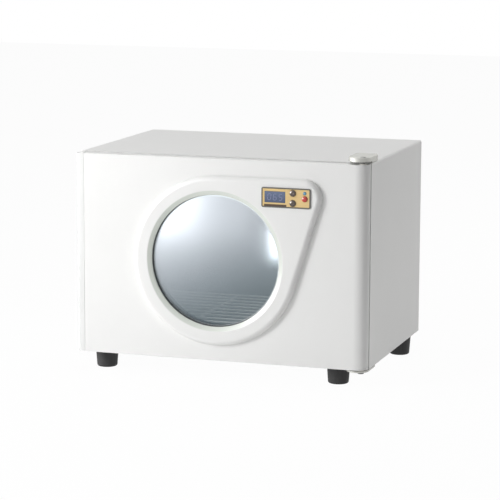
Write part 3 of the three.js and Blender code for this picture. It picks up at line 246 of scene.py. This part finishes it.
def turned(profile, middle, axis, around=64):
    """A profile of radius and distance along an axis, carried round that axis in equal steps."""
    radius, along = np.asarray(profile, float).T[:, :, None]
    turn = np.linspace(0, 2 * np.pi, around, endpoint=False)
    first, second = radius * np.cos(turn), radius * np.sin(turn)
    x, y, z = middle
    if axis == "x":
        return placed(x + along, y + first, z + second)
    if axis == "y":
        return placed(x + first, y + along, z + second)
    return placed(x + first, y + second, z + along)


def arc(middle, radii, start, end, steps):
    """Points on an ellipse about a middle, from one angle to another in degrees."""
    turn = np.radians(np.linspace(start, end, steps))
    return np.array(middle) + np.array(radii) * np.stack([np.cos(turn), np.sin(turn)], axis=-1)


def surface(name, grids, closed=(True, False), crease=35):
    """A mesh over grids of points, with one face for each cell.
    Closed joins the last column, or the last row, to the first."""
    points, faces, count = [], [], 0
    for grid in grids:
        rows, columns = grid.shape[:2]
        numbers = count + np.arange(rows * columns).reshape(rows, columns)
        numbers = np.pad(numbers, ((0, int(closed[1])), (0, int(closed[0]))), mode="wrap")
        corners = [numbers[:-1, :-1], numbers[:-1, 1:], numbers[1:, 1:], numbers[1:, :-1]]
        faces.append(np.stack(corners, axis=-1).reshape(-1, 4))
        points.append(grid.reshape(-1, 3))
        count += rows * columns
    mesh = bpy.data.meshes.new(name)
    mesh.from_pydata(np.concatenate(points), [], np.concatenate(faces).tolist())
    work = bmesh.new()
    work.from_mesh(mesh)
    bmesh.ops.remove_doubles(work, verts=work.verts, dist=0.000002)
    bmesh.ops.dissolve_degenerate(work, edges=work.edges, dist=0.0000005)
    bmesh.ops.recalc_face_normals(work, faces=work.faces)
    work.to_mesh(mesh)
    work.free()
    mesh.shade_smooth()
    mesh.set_sharp_from_angle(angle=math.radians(crease))
    piece = bpy.data.objects.new(name, mesh)
    bpy.context.scene.collection.objects.link(piece)
    return piece


def fit(piece, material, body, slot, *stands_for):
    """Paints a piece, makes it ride on its body and puts it in the place of solids of the frame."""
    piece.data.materials.clear()
    piece.data.materials.append(material)
    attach(piece, body)
    if stands_for:
        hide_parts(*stands_for)


def wire_profile(radius, length):
    """A straight wire with rounded ends: half circles of the radius joined by a straight side."""
    near = arc((0, radius - length / 2), (radius, radius), -90, 0, 6)
    far = arc((0, length / 2 - radius), (radius, radius), 0, 90, 6)
    return np.concatenate([near, far])


long_profile = wire_profile(LONG_RADIUS, RACK_BACK - RACK_FRONT)
cross_profile = wire_profile(CROSS_RADIUS, CROSS_LENGTH)
wires = []
for x in (-190.7, -55.0, 55.0, 190.7):
    middle = (x, (RACK_FRONT + RACK_BACK) / 2, LONG_HEIGHT)
    wires.append(turned(long_profile, middle, "y", 20))
for y in np.linspace(RACK_FRONT + CROSS_RADIUS, RACK_BACK - CROSS_RADIUS, 10):
    wires.append(turned(cross_profile, (0, y, CROSS_HEIGHT), "x", 16))
bright_wire, shader, place = new_finish("bright_wire")
drawn = place.noise(260)
fill(shader, {
    "Base Color": drawn.mix((0.86, 0.87, 0.88, 1), (0.94, 0.95, 0.95, 1)),
    "Roughness": 0.44 + drawn * 0.06,
    "Metallic": 0.6,
})
fit(surface("rack_wires", wires), bright_wire, "cabinet", "stainless", "wire_rack")


# Floor heater: a silicone mat with its heating wire moulded in, glued under the chamber's floor.
# The wire runs to and fro across the mat and shows as low ridges.
silicone_mat, shader, place = new_finish("silicone_mat")
rows = place.math("SINE", place.axis(1) * 700.0)
fill(shader, {
    "Base Color": rows.between(-0.4, 0.9).mix((0.34, 0.11, 0.05, 1), (0.46, 0.17, 0.09, 1)),
    "Roughness": 0.6 + place.noise(90) * 0.2,
    "Normal": rows.bump(0.3),
})
dress(["floor_heater"], silicone_mat, 0.3)


# Thermal cut-out, power board and mains inlet: the electrics behind the chamber.
# The board stands on posts of the rear panel, and the inlet snaps into its cut-out.
# The inlet's pins lie in its mouth and are the only bare metal.
black_moulding, shader, place = new_finish("black_moulding")
grain = place.noise(1500, 2)
in_mouth = place.axis(0).band(-0.1592, -0.1408, 0.0002) * place.axis(2).band(0.0715, 0.0805, 0.0002)
depth = place.axis(1)
pins = in_mouth * (depth.between(0.1523, 0.1525) - depth.between(0.1655, 0.1660))
fill(shader, {
    "Base Color": pins.mix((0.018, 0.018, 0.019, 1), (0.66, 0.62, 0.52, 1)),
    "Roughness": 0.38 + grain * 0.16,
    "Metallic": pins,
    "Normal": grain.bump(0.03),
})
dress(["thermal_cutout", "power_inlet"], black_moulding, 0.3)

circuit_board, shader, place = new_finish("circuit_board")
tracks = place.node("ShaderNodeTexBrick", {"offset": 0.3}, {
    "Vector": place.node("ShaderNodeMapping", {}, {"Vector": place, "Rotation": (math.pi / 2, 0, 0)}),
    "Color1": (0.03, 0.17, 0.07, 1),
    "Color2": (0.05, 0.24, 0.10, 1),
    "Mortar": (0.10, 0.34, 0.16, 1),
    "Scale": 90.0,
    "Mortar Size": 0.03,
})
depth = place.axis(1)
raised = depth.between(0.0, 0.001) - depth.between(0.1540, 0.1541)
fill(shader, {
    "Base Color": raised.mix(tracks, (0.03, 0.03, 0.035, 1)),
    "Roughness": 0.35 + place.noise(400) * 0.2,
})
dress(["power_board", "control_board"], circuit_board, 0.2)


# Rear screws: zinc-plated pan heads with a cross recess, one near each corner of the rear panel.
# The head is a shallow dome over a polar grid, sunk where two crossing bars lie.
HEAD_RADIUS, HEAD_HEIGHT = 3.2, 2.0
spin = np.linspace(0, 2 * np.pi, 64, endpoint=False)
reach = np.linspace(0, HEAD_RADIUS, 33)[:, None]
across, upright = reach * np.cos(spin), reach * np.sin(spin)
bar = np.clip(1.4 - np.minimum(np.abs(across), np.abs(upright)) / 0.45, 0, 1)
recess = 1.1 * bar * np.clip((2.0 - reach) / 0.3, 0, 1)
crown = HEAD_HEIGHT * np.sqrt(1 - (reach / 3.3) ** 2) - recess
shank_profile = [[HEAD_RADIUS, 0.0], [1.5, 0.0], [1.5, -6.0], [0.0, -6.0]]
for number in range(1, 5):
    low, high = (np.array(corner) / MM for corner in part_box(f"rear_screw_{number}"))
    x, z = (low[[0, 2]] + high[[0, 2]]) / 2
    seat = high[1] - HEAD_HEIGHT - DOOR_FACE[1] / MM
    head = placed(x + across, seat + crown, z + upright)
    shank = turned(shank_profile, (x, seat, z), "y")
    screw = surface(f"rear_screw_head_{number}", [np.concatenate([head, shank])], crease=50)
    fit(screw, zinc_plate, "cabinet", "zinc_steel", f"rear_screw_{number}")


# Feet: four tapered feet of black rubber, with a rounded lower edge and a hollow for the screw.
# Each is turned from one profile and fixed to the base pan by its screw.
foot_rubber, shader, place = new_finish("foot_rubber")
bloom = place.noise(60)
fill(shader, {
    "Base Color": bloom.mix((0.012, 0.012, 0.013, 1), (0.030, 0.030, 0.030, 1)),
    "Roughness": 0.55 + bloom * 0.25,
    "Normal": place.noise(1800, 2).bump(0.05),
})
foot_profile = np.concatenate([
    [[8.0, 0.6], [8.6, 0.0]],
    arc((12.5, 3.0), (3.0, 3.0), -90, 0, 9),
    arc((16.2, 26.7), (1.0, 1.0), 0, 90, 6),
    [[2.4, 27.7], [2.4, 10.0], [8.0, 10.0]],
])
corners = ["front_left", "front_right", "rear_left", "rear_right"]
for corner in corners:
    low, high = (np.array(end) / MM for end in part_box("foot_" + corner))
    x, y = (low[:2] + high[:2]) / 2 - DOOR_FACE[:2] / MM
    foot_rows = turned(foot_profile, (x, y, 0), "z", 96)
    rubber = surface("rubber_foot_" + corner, [foot_rows], (True, True))
    fit(rubber, foot_rubber, "cabinet", "foot_rubber", "foot_" + corner)
dress(["foot_screw_" + corner for corner in corners], zinc_plate)


# Front frame: a white moulding around the chamber's mouth, between the wrap and the liner.
# It holds the catch magnet, a plain dark ferrite block, in a pocket.
white_moulding, shader, place = new_finish("white_moulding")
flow = place.noise(6)
skin = place.noise(1300, 2)
fill(shader, {
    "Base Color": flow.mix((0.865, 0.865, 0.855, 1), (0.90, 0.90, 0.89, 1)),
    "Roughness": 0.26 + flow * 0.10,
    "Normal": skin.bump(0.012),
})
dress(["front_frame"], white_moulding, 0.5)
ferrite, shader, place = new_finish("ferrite")
specks = place.noise(900)
fill(shader, {
    "Base Color": specks.mix((0.06, 0.06, 0.065, 1), (0.16, 0.16, 0.165, 1)),
    "Roughness": 0.5 + specks * 0.2,
    "Metallic": 0.5,
})
dress(["catch_magnet"], ferrite, 0.3)


# Hinge: a cast, satin-nickel top bracket and a pressed lower bracket, with steel pins.
# Both are screwed to the cabinet, and the pins turn in flanged plastic bushes in the door.
satin_nickel, shader, place = new_finish("satin_nickel")
cast = place.noise(500, 4)
worn = place.noise(40)
fill(shader, {
    "Base Color": cast.mix((0.40, 0.40, 0.375, 1), (0.49, 0.49, 0.465, 1)),
    "Roughness": 0.46 + worn * 0.16,
    "Metallic": 0.85,
    "Normal": cast.bump(0.03),
})
dress(["top_hinge_bracket", "lower_hinge_bracket"], satin_nickel, 0.3)
black_oxide, shader, place = new_finish("black_oxide")
turning = place.noise(400)
fill(shader, {
    "Base Color": turning.mix((0.10, 0.10, 0.10, 1), (0.20, 0.20, 0.195, 1)),
    "Roughness": 0.42 + turning * 0.14,
    "Metallic": 0.8,
})
dress(["top_hinge_pin", "lower_hinge_pin"], black_oxide, 0.3)
for bracket in ("top", "lower"):
    dress([f"{bracket}_hinge_screw_rear", f"{bracket}_hinge_screw_front"], zinc_plate, 0.2)
bush_plastic, shader, place = new_finish("bush_plastic")
haze = place.noise(200)
fill(shader, {
    "Base Color": haze.mix((0.74, 0.72, 0.66, 1), (0.80, 0.78, 0.72, 1)),
    "Roughness": 0.4 + haze * 0.15,
})
dress(["top_hinge_bush", "lower_hinge_bush"], bush_plastic, 0.1)


# Door skin and inner panel: a white moulding with a round hinge edge, and a coated steel sheet behind.
# The catch plate of the magnet is let into the back of the grip.
dress(["door_outer_panel"], white_moulding, 0.6)
dress(["door_inner_panel"], powder_coat, 0.3)
dress(["catch_plate"], zinc_plate, 0.2)


# Edge grip: a pale moulded strip along the door's free edge, with a groove for the fingers.
# It is snapped onto the door skin, and its front edge is bevelled.
grip_moulding, shader, place = new_finish("grip_moulding")
touch = place.noise(22)
fill(shader, {
    "Base Color": touch.mix((0.81, 0.815, 0.805, 1), (0.85, 0.855, 0.85, 1)),
    "Roughness": 0.32 + touch * 0.14,
    "Normal": place.noise(1300, 2).bump(0.015),
})
dress(["door_edge_grip"], grip_moulding, 0.35)


# Door gasket: a hollow rubber bulb around the chamber's mouth, pressed into the door's back.
# Its profile is a flat base and a low double bulb, carried round a rectangle with round corners.
def loop(half, low, high, radius, steps=14, sides=20):
    """A rectangle with round corners, as points and as outward normals.
    Quarter circles of the radius are joined by straight sides, cut into equal shares."""
    middles = [(half - radius, high - radius), (radius - half, high - radius),
               (radius - half, low + radius), (half - radius, low + radius)]
    turns = [np.radians(np.linspace(90 * k, 90 * k + 90, steps)) for k in range(4)]
    normals = [np.stack([np.cos(t), np.sin(t)], axis=-1) for t in turns]
    arcs = [np.array(m) + radius * n for m, n in zip(middles, normals)]
    points, outward = [], []
    share = np.linspace(0, 1, sides + 1, endpoint=False)[1:, None]
    for k in range(4):
        after = (k + 1) % 4
        points += [arcs[k], arcs[k][-1] * (1 - share) + arcs[after][0] * share]
        outward += [normals[k], np.repeat(normals[k][-1:], sides, axis=0)]
    return np.concatenate(points), np.concatenate(outward)


def carried(points, outward, profile):
    """A profile of outward offset and depth, carried along a loop in the plane of the door."""
    offset, depth = np.asarray(profile, float).T[:, :, None]
    x = points[:, 0] + offset * outward[:, 0]
    z = points[:, 1] + offset * outward[:, 1]
    return placed(x, depth, z)


mouth, outward = loop(204, 49, 310, 19)
bulbs = np.concatenate([
    [[-4.9, 18.3]],
    arc((-2.5, 19.5), (2.4, 1.2), 180, 20, 9),
    arc((2.5, 19.5), (2.4, 1.2), 160, 0, 9),
    [[4.9, 18.3]],
])
pale_rubber, shader, place = new_finish("pale_rubber")
dust = place.noise(50)
fill(shader, {
    "Base Color": dust.mix((0.56, 0.56, 0.55, 1), (0.68, 0.68, 0.67, 1)),
    "Roughness": 0.6 + dust * 0.2,
})
gasket = surface("gasket_bulb", [carried(mouth, outward, bulbs)], (True, True))
fit(gasket, pale_rubber, "door", "gasket_rubber", "door_gasket")


# Teardrop bezel: a glossy white moulding, proud of the door, around the window and the control panel.
# Its outline is a large and a small circle with straight sides that touch both; its edge is rounded.
# The sloping rim around the window is painted a darker greenish grey, partly a tint and partly painted
# shade in the recess.
WINDOW = np.array([-4.0, 179.5])
BEZEL_CORNER = np.array([131.0, 279.0])
LARGE_RADIUS, SMALL_RADIUS = 126.5, 27.0
PANEL = np.array([106.0, 279.0])
lean = 2 * math.degrees(math.atan2(*(BEZEL_CORNER - WINDOW)[::-1])) - 90
large = np.radians(np.linspace(90, 360 + lean, 220))
small = np.radians(np.linspace(lean, 90, 60))
large_out = np.stack([np.cos(large), np.sin(large)], axis=-1)
small_out = np.stack([np.cos(small), np.sin(small)], axis=-1)
large_round = WINDOW + LARGE_RADIUS * large_out
small_round = BEZEL_CORNER + SMALL_RADIUS * small_out
share = np.linspace(0, 1, 41, endpoint=False)[1:, None]
outline = np.concatenate([
    large_round, large_round[-1] * (1 - share) + small_round[0] * share,
    small_round, small_round[-1] * (1 - share) + large_round[0] * share,
])
outward = np.concatenate([
    large_out, np.repeat(large_out[-1:], len(share), axis=0),
    small_out, np.repeat(small_out[-1:], len(share), axis=0),
])
shoulder = arc((-8.0, -1.0), (8.0, 9.0), 0, 90, 18) * [1, -1] + [0, -2]
outer_rows = carried(outline, outward, np.concatenate([[[0, -0.3]], shoulder]))
toward = outline - 8 * outward - WINDOW
spoke = toward / np.linalg.norm(toward, axis=1, keepdims=True)
rim_profile = [
    [105.6, -10.0], [105.2, -9.93], [104.8, -9.75], [98.9, -6.75], [98.5, -6.45], [98.3, -6.0],
    [98.3, -5.3], [101.3, -5.3], [101.3, 16.5], [104.0, 16.5], [104.0, -7.2],
]
rim_rows = carried(np.repeat(WINDOW[None], len(outline), axis=0), spoke, rim_profile)
share = np.linspace(0, 1, 9)[1:-1, None, None]
face_rows = outer_rows[-1] * (1 - share) + rim_rows[0] * share
back_rows = carried(outline, outward, [[-6, -7.2], [-6, -0.3]])
bezel_rows = np.concatenate([outer_rows, face_rows, rim_rows, back_rows])
bezel = surface("bezel_moulding", [bezel_rows], (True, True))

opening, opening_out = loop(36.85, 264.65, 293.35, 2.6, 8, 4)
opening = opening + [PANEL[0], 0]
ends = np.repeat(PANEL[None], len(opening), axis=0)
cutter = surface("panel_opening", [np.concatenate([
    carried(ends, opening_out, [[0, -12]]), carried(opening, opening_out, [[0, -12], [0, 2]]),
    carried(ends, opening_out, [[0, 2]]),
])])
cut = bezel.modifiers.new("panel_opening", "BOOLEAN")
cut.object = cutter
cut.solver = "EXACT"
bpy.context.view_layer.update()
shaped = bpy.data.meshes.new_from_object(bezel.evaluated_get(bpy.context.evaluated_depsgraph_get()))
bezel.modifiers.clear()
bezel.data = shaped
shaped.shade_smooth()
shaped.set_sharp_from_angle(angle=math.radians(30))
bpy.data.objects.remove(cutter)


def from_window(place):
    """The distance of a place from the window's axis, worked out from across and height alone."""
    flat = place.node("ShaderNodeVectorMath", {"operation": "MULTIPLY"}, {0: place, 1: (1, 0, 1)})
    middle = (WINDOW[0] * MM, 0, WINDOW[1] * MM)
    return place.node("ShaderNodeVectorMath", {"operation": "DISTANCE"}, {0: flat, 1: middle}, "Value")


bezel_gloss, shader, place = new_finish("bezel_moulding")
# Painted shade and tint: the sloping rim into the window is darker and greener than the white.
rim_tint_and_shade = 1 - from_window(place).between(0.1040, 0.1056)
flow = place.noise(6)
white = flow.mix((0.865, 0.865, 0.855, 1), (0.90, 0.90, 0.89, 1))
fill(shader, {
    "Base Color": rim_tint_and_shade.mix(white, (0.72, 0.755, 0.70, 1)),
    "Roughness": 0.24 + flow * 0.10,
    "Normal": place.noise(1300, 2).bump(0.012),
})
fit(bezel, bezel_gloss, "door", "white_moulding", "teardrop_bezel")


# Window seal: a black rubber sleeve that lines the bezel's throat and grips both glasses.
# It is turned, with a rounded lip in front.
seal_rubber, shader, place = new_finish("seal_rubber")
wipe = place.noise(35)
fill(shader, {
    "Base Color": wipe.mix((0.008, 0.008, 0.009, 1), (0.022, 0.022, 0.023, 1)),
    "Roughness": 0.45 + wipe * 0.2,
})
sleeve = np.concatenate([
    arc((98.8, -4.2), (0.8, 0.8), 180, 270, 6),
    arc((100.2, -4.2), (0.8, 0.8), 270, 360, 6),
    [[101.0, 18.0], [98.0, 18.0], [98.0, 16.5], [99.8, 16.5], [99.8, 12.9], [98.0, 12.9]],
    [[98.0, 1.3], [99.8, 1.3], [99.8, -2.3], [98.0, -2.3]],
])
seal_rows = turned(sleeve, (WINDOW[0], 0, WINDOW[1]), "y", 128)
seal = surface("seal_sleeve", [seal_rows], (True, True))
fit(seal, seal_rubber, "door", "seal_rubber", "window_seal")


# Window glass: a domed outer glass with a thin half-mirror film, and a flat clear pane behind it.
# The dome is a shallow spherical cap of even thickness with a flat rim, turned from its profile.
# Its colour is painted lighter and more opaque towards the upper left and darker towards the bottom, a
# painted reflection of the soft lights at the left, and a pale ring at its edge is a painted
# highlight.
DOME_RADIUS, DOME_RISE, DOME_WALL, DOME_FOOT = 97.7, 8.0, 3.0, -2.0
sphere = (DOME_RADIUS ** 2 + DOME_RISE ** 2) / (2 * DOME_RISE)
angle = np.linspace(0, math.asin(DOME_RADIUS / sphere), 40)
rise = sphere * (np.cos(angle[-1]) - np.cos(angle))
cap = np.stack([sphere * np.sin(angle), rise + DOME_FOOT], axis=-1)
dome_rim = [[99.4, DOME_FOOT], [99.4, DOME_FOOT + DOME_WALL]]
dome_profile = np.concatenate([cap, dome_rim, cap[::-1] + [0, DOME_WALL]])
mirror_film, shader, place = new_finish("half_mirror_glass")
across, height = place.axis(0) - WINDOW[0] * MM, place.axis(2) - WINDOW[1] * MM
# Painted light: the film is lighter and more opaque towards the upper left and darker towards the
# bottom.
painted_light_grade = (height * 0.88 - across * 0.4).between(-0.12, 0.06)
film_and_painted_light = painted_light_grade.mix((0.195, 0.268, 0.302, 1), (0.58, 0.62, 0.665, 1))
# Painted highlight: a pale ring at the glass's edge.
painted_edge_highlight = from_window(place).between(0.0955, 0.0963)
fill(shader, {
    "Base Color": painted_edge_highlight.mix(film_and_painted_light, (0.70, 0.75, 0.78, 1)),
    "Roughness": 0.265 - place.axis(0).between(-0.02, 0.085) * 0.11,
    "Metallic": 1.0,
    "Alpha": 0.20 + painted_light_grade * 0.56 + painted_edge_highlight * 0.15,
})
dome_rows = turned(dome_profile, (WINDOW[0], 0, WINDOW[1]), "y", 128)
dome = surface("glass_dome", [dome_rows], crease=50)
fit(dome, mirror_film, "door", "dome_glass", "window_dome")
clear_glass, shader, place = new_finish("clear_glass")
smear = place.noise(10)
fill(shader, {
    "Base Color": smear.mix((0.70, 0.76, 0.78, 1), (0.78, 0.83, 0.84, 1)),
    "Roughness": 0.02 + smear * 0.02,
    "Alpha": 0.06,
})
dress(["window_inner_pane"], clear_glass)


# Control panel frame and facia: a dark plastic rim in the bezel, and a gold lacquered plate in it.
# A bare dark strip lies on the plate under the display.
dark_plastic, shader, place = new_finish("dark_plastic")
grain = place.noise(1500, 2)
fill(shader, {
    "Base Color": grain.mix((0.12, 0.115, 0.105, 1), (0.17, 0.165, 0.15, 1)),
    "Roughness": 0.36 + grain * 0.14,
    "Normal": grain.bump(0.02),
})
dress(["control_frame"], dark_plastic, 0.25)
gold_lacquer, shader, place = new_finish("gold_lacquer")
lines = place.noise(900, 3, (0.03, 1, 1))
strip = place.axis(0).band(0.0727, 0.1071, 0.0006) * place.axis(2).band(0.2650, 0.2694, 0.0004)
gold = lines.mix((0.62, 0.45, 0.20, 1), (0.73, 0.54, 0.26, 1))
fill(shader, {
    "Base Color": strip.mix(gold, (0.085, 0.05, 0.03, 1)),
    "Roughness": 0.30 + lines * 0.14,
    "Metallic": 0.35 - strip * 0.35,
})
dress(["control_facia"], gold_lacquer, 0.15)


# Display and lamp: a dark blue-grey lens with three seven-segment digits, and a blue indicator lamp.
# Each digit segment is a flat bar with pointed ends on the lens.
display_lens, shader, place = new_finish("display_lens")
# Painted reflection: the lens is lighter towards the top, as if it caught the light from above.
painted_top_sheen = place.axis(2).between(0.270, 0.290)
fill(shader, {
    "Base Color": painted_top_sheen.mix((0.092, 0.118, 0.20, 1), (0.15, 0.19, 0.30, 1)),
    "Roughness": 0.12 + place.noise(300) * 0.06,
})
dress(["display_lens"], display_lens, 0.2)


DIGIT_MIDDLE, BAR_LENGTH, BAR_HALF, SLANT = 279.8, 3.9, 0.45, 0.1


def segment(x, z, upright):
    """A flat bar with pointed ends: its half width falls to nearly nothing over the ends.
    Each point moves across by the slant's share of its height over the digit's middle."""
    run = np.array([-0.5, -0.5, 0.5, 0.5]) * BAR_LENGTH + np.array([0, BAR_HALF, -BAR_HALF, 0])
    wide = np.array([0.02, BAR_HALF, BAR_HALF, 0.02])[:, None] * np.array([-1, 1, 1, -1])
    depth = np.array([-11.27, -11.27, -11.21, -11.21])
    run = np.broadcast_to(run[:, None], wide.shape)
    across, height = (wide, run) if upright else (run, wide)
    height = z + height
    return placed(x + across + SLANT * (height - DIGIT_MIDDLE), depth, height)


bars = {
    "top": (0, 4.4, False), "middle": (0, 0, False), "bottom": (0, -4.4, False),
    "high_left": (-2.3, 2.2, True), "high_right": (2.3, 2.2, True),
    "low_left": (-2.3, -2.2, True), "low_right": (2.3, -2.2, True),
}
lit = {
    80.8: ["top", "high_left", "high_right", "low_left", "low_right", "bottom"],
    89.3: ["top", "high_left", "middle", "low_left", "low_right", "bottom"],
    97.8: ["top", "high_left", "middle", "low_right", "bottom"],
}
segments = []
for digit_x, names in lit.items():
    for name in names:
        x, z, upright = bars[name]
        segments.append(segment(digit_x + x, DIGIT_MIDDLE + z, upright))
digit_glow, shader, place = new_finish("digit_glow")
glint = place.noise(500)
fill(shader, {
    "Base Color": glint.mix((0.17, 0.20, 0.34, 1), (0.22, 0.25, 0.40, 1)),
    "Roughness": 0.3 + glint * 0.1,
})
fit(surface("display_digits", segments), digit_glow, "door", "display")

lamp_lens, shader, place = new_finish("lamp_lens")
core = place.noise(700)
fill(shader, {
    "Base Color": core.mix((0.09, 0.27, 0.42, 1), (0.13, 0.34, 0.50, 1)),
    "Roughness": 0.30 + core * 0.08,
    "Coat Weight": 0.2,
})
dress(["indicator_lamp"], lamp_lens)


# Buttons: two dark-chrome domes and a red plastic one, each pressed through a hole in the facia.
# Each is a quarter ellipse over a straight skirt with a flange, turned about its own axis.
dark_chrome, shader, place = new_finish("dark_chrome")
rub = place.noise(300)
fill(shader, {
    "Base Color": rub.mix((0.085, 0.07, 0.06, 1), (0.12, 0.10, 0.087, 1)),
    "Roughness": 0.13 + rub * 0.06,
    "Metallic": 0.9,
    "Coat Weight": 0.5,
})
red_plastic, shader, place = new_finish("red_plastic")
rub = place.noise(300)
fill(shader, {
    "Base Color": rub.mix((0.50, 0.018, 0.010, 1), (0.60, 0.030, 0.018, 1)),
    "Roughness": 0.14 + rub * 0.08,
    "Coat Weight": 0.7,
})
SHOULDER, CROWN, FLANGE_FRONT, FLANGE_BACK, KEY_END = -11.8, 2.4, -9.7, -8.7, -4.9
for key, radius, x, z, finish, slot in (
    ("up", 4.8, 116.3, 286.3, dark_chrome, "dark_chrome"),
    ("down", 4.8, 116.3, 271.7, dark_chrome, "dark_chrome"),
    ("power", 4.2, 134.3, 278.6, red_plastic, "red_plastic"),
):
    flange = radius + 0.9
    button_profile = np.concatenate([
        arc((0, SHOULDER), (radius, CROWN), -90, 0, 16),
        [[radius, SHOULDER], [radius, FLANGE_FRONT], [flange, FLANGE_FRONT]],
        [[flange, FLANGE_BACK], [radius, FLANGE_BACK], [radius, KEY_END], [0, KEY_END]],
    ])
    button = surface(f"{key}_button_cap", [turned(button_profile, (x, 0, z), "y", 64)], crease=40)
    fit(button, finish, f"{key}_key", slot, f"{key}_button")


# Studio: a plain pale floor that keeps the object's soft shadow, and white surroundings.
# Soft lights stand at the front left, overhead and at the right rear, and a narrow one in front.
# A small one lights the chamber, and one at the left shows in glossy surfaces only.
def direct_rays(tree):
    """1 for rays from the camera, a mirror or a glass, and 0 for those that light dull surfaces."""
    rays = tree.nodes.new("ShaderNodeLightPath")
    kinds = ("Is Camera Ray", "Is Glossy Ray", "Is Transmission Ray")
    camera_ray, glossy_ray, glass_ray = (Shade(tree, rays.outputs[kind]) for kind in kinds)
    return camera_ray.math("MAXIMUM", camera_ray.math("MAXIMUM", camera_ray, glossy_ray), glass_ray)


span = np.linspace(-6, 6, 25)
floor_rows = np.stack(np.broadcast_arrays(span[:, None], span, 0.0), axis=-1)
floor = surface("studio_floor", [floor_rows], (False, False))
floor_paint, shader, place = new_finish("floor_paint")
grain = place.noise(3)
fill(shader, {
    "Base Color": grain.mix((0.90, 0.90, 0.90, 1), (0.92, 0.92, 0.92, 1)),
    "Roughness": 0.9,
})
glow_share = direct_rays(place.tree) * 0.965
glow = place.node("ShaderNodeEmission", {}, {"Strength": 1.0})
paint = Shade(place.tree, shader.outputs[0])
blended = place.node("ShaderNodeMixShader", {}, {0: glow_share, 1: paint, 2: glow})
place.tree.links.new(blended.socket, place.tree.nodes["Material Output"].inputs["Surface"])
floor.data.materials.append(floor_paint)

scene = bpy.context.scene
world = bpy.data.worlds.new("studio_white")
world.use_nodes = True
scene.world = world
sky = world.node_tree.nodes["Background"]
fill(sky, {"Color": (1, 1, 1, 1), "Strength": 0.10 + direct_rays(world.node_tree) * 0.90})


def softbox(name, position, target, width, height, watts):
    """An even rectangular light that faces a target, unseen by the camera. Gives its object."""
    lamp = bpy.data.lights.new(name, "AREA")
    lamp.shape, lamp.size, lamp.size_y, lamp.energy = "RECTANGLE", width, height, watts
    box = bpy.data.objects.new(name, lamp)
    scene.collection.objects.link(box)
    back = np.array(position, float) - target
    back /= np.linalg.norm(back)
    right = np.cross([0, 0, 1], back)
    right /= np.linalg.norm(right)
    turn = np.column_stack([right, np.cross(back, right), back, position])
    box.matrix_world = Matrix(np.vstack([turn, [0, 0, 0, 1]]).tolist())
    box.visible_camera = False
    return box


softbox("wide_softbox", (-1.4, -2.4, 0.76), (0, 0, 0.2), 2.4, 1.5, 3.6)
softbox("window_softbox", (-1.38, -2.4, 0.38), (0, 0, 0.2), 0.6, 0.6, 1.05)
softbox("key_softbox", (-1.5, -1.9, 1.7), (0, 0, 0.2), 1.2, 1.2, 20.5)
softbox("near_softbox", (-0.9, -1.0, 0.5), (-0.1, -0.15, 0.2), 0.36, 0.36, 6.6)
softbox("overhead_softbox", (-0.3, 0.2, 2.6), (0, 0, 0.2), 2.4, 2.4, 20)
softbox("side_softbox", (1.8, 1.8, 1.4), (0.2, 0, 0.2), 1.8, 1.8, 22)
softbox("strip_softbox", (0.095, -1.15, 0.145), (0, 0, 0.17), 0.05, 0.22, 0.30)
softbox("chamber_softbox", (0.0, -0.03, 0.268), (0.0, 0.02, 0.1), 0.22, 0.12, 0.12)
gleam = softbox("gleam_softbox", (-1.5, -0.72, 0.62), (0.1, -0.17, 0.28), 1.0, 1.1, 32)
gleam.visible_diffuse = False


# Camera: some steps in front of the cabinet, to its right and a little above it.
# Its place, yaw, pitch, roll and focal length follow from the box's corners in the reference view.
CAMERA_PLACE = [1.04798, -3.24438, 0.73808]
yaw, pitch, roll = math.radians(17.929), math.radians(9.441), 0.0041266
back = np.array([math.sin(yaw) * math.cos(pitch), -math.cos(yaw) * math.cos(pitch), math.sin(pitch)])
right = np.cross(-back, [0, 0, 1])
right /= np.linalg.norm(right)
level, upright = right, np.cross(back, right)
right = math.cos(roll) * level + math.sin(roll) * upright
up = math.cos(roll) * upright - math.sin(roll) * level
lens = bpy.data.cameras.new("camera")
lens.lens, lens.sensor_width = 162.04, 36.0
camera = bpy.data.objects.new("camera", lens)
scene.collection.objects.link(camera)
turn = np.column_stack([right, up, back, CAMERA_PLACE])
camera.matrix_world = Matrix(np.vstack([turn, [0, 0, 0, 1]]).tolist())
scene.camera = camera
scene.view_settings.view_transform = "Standard"
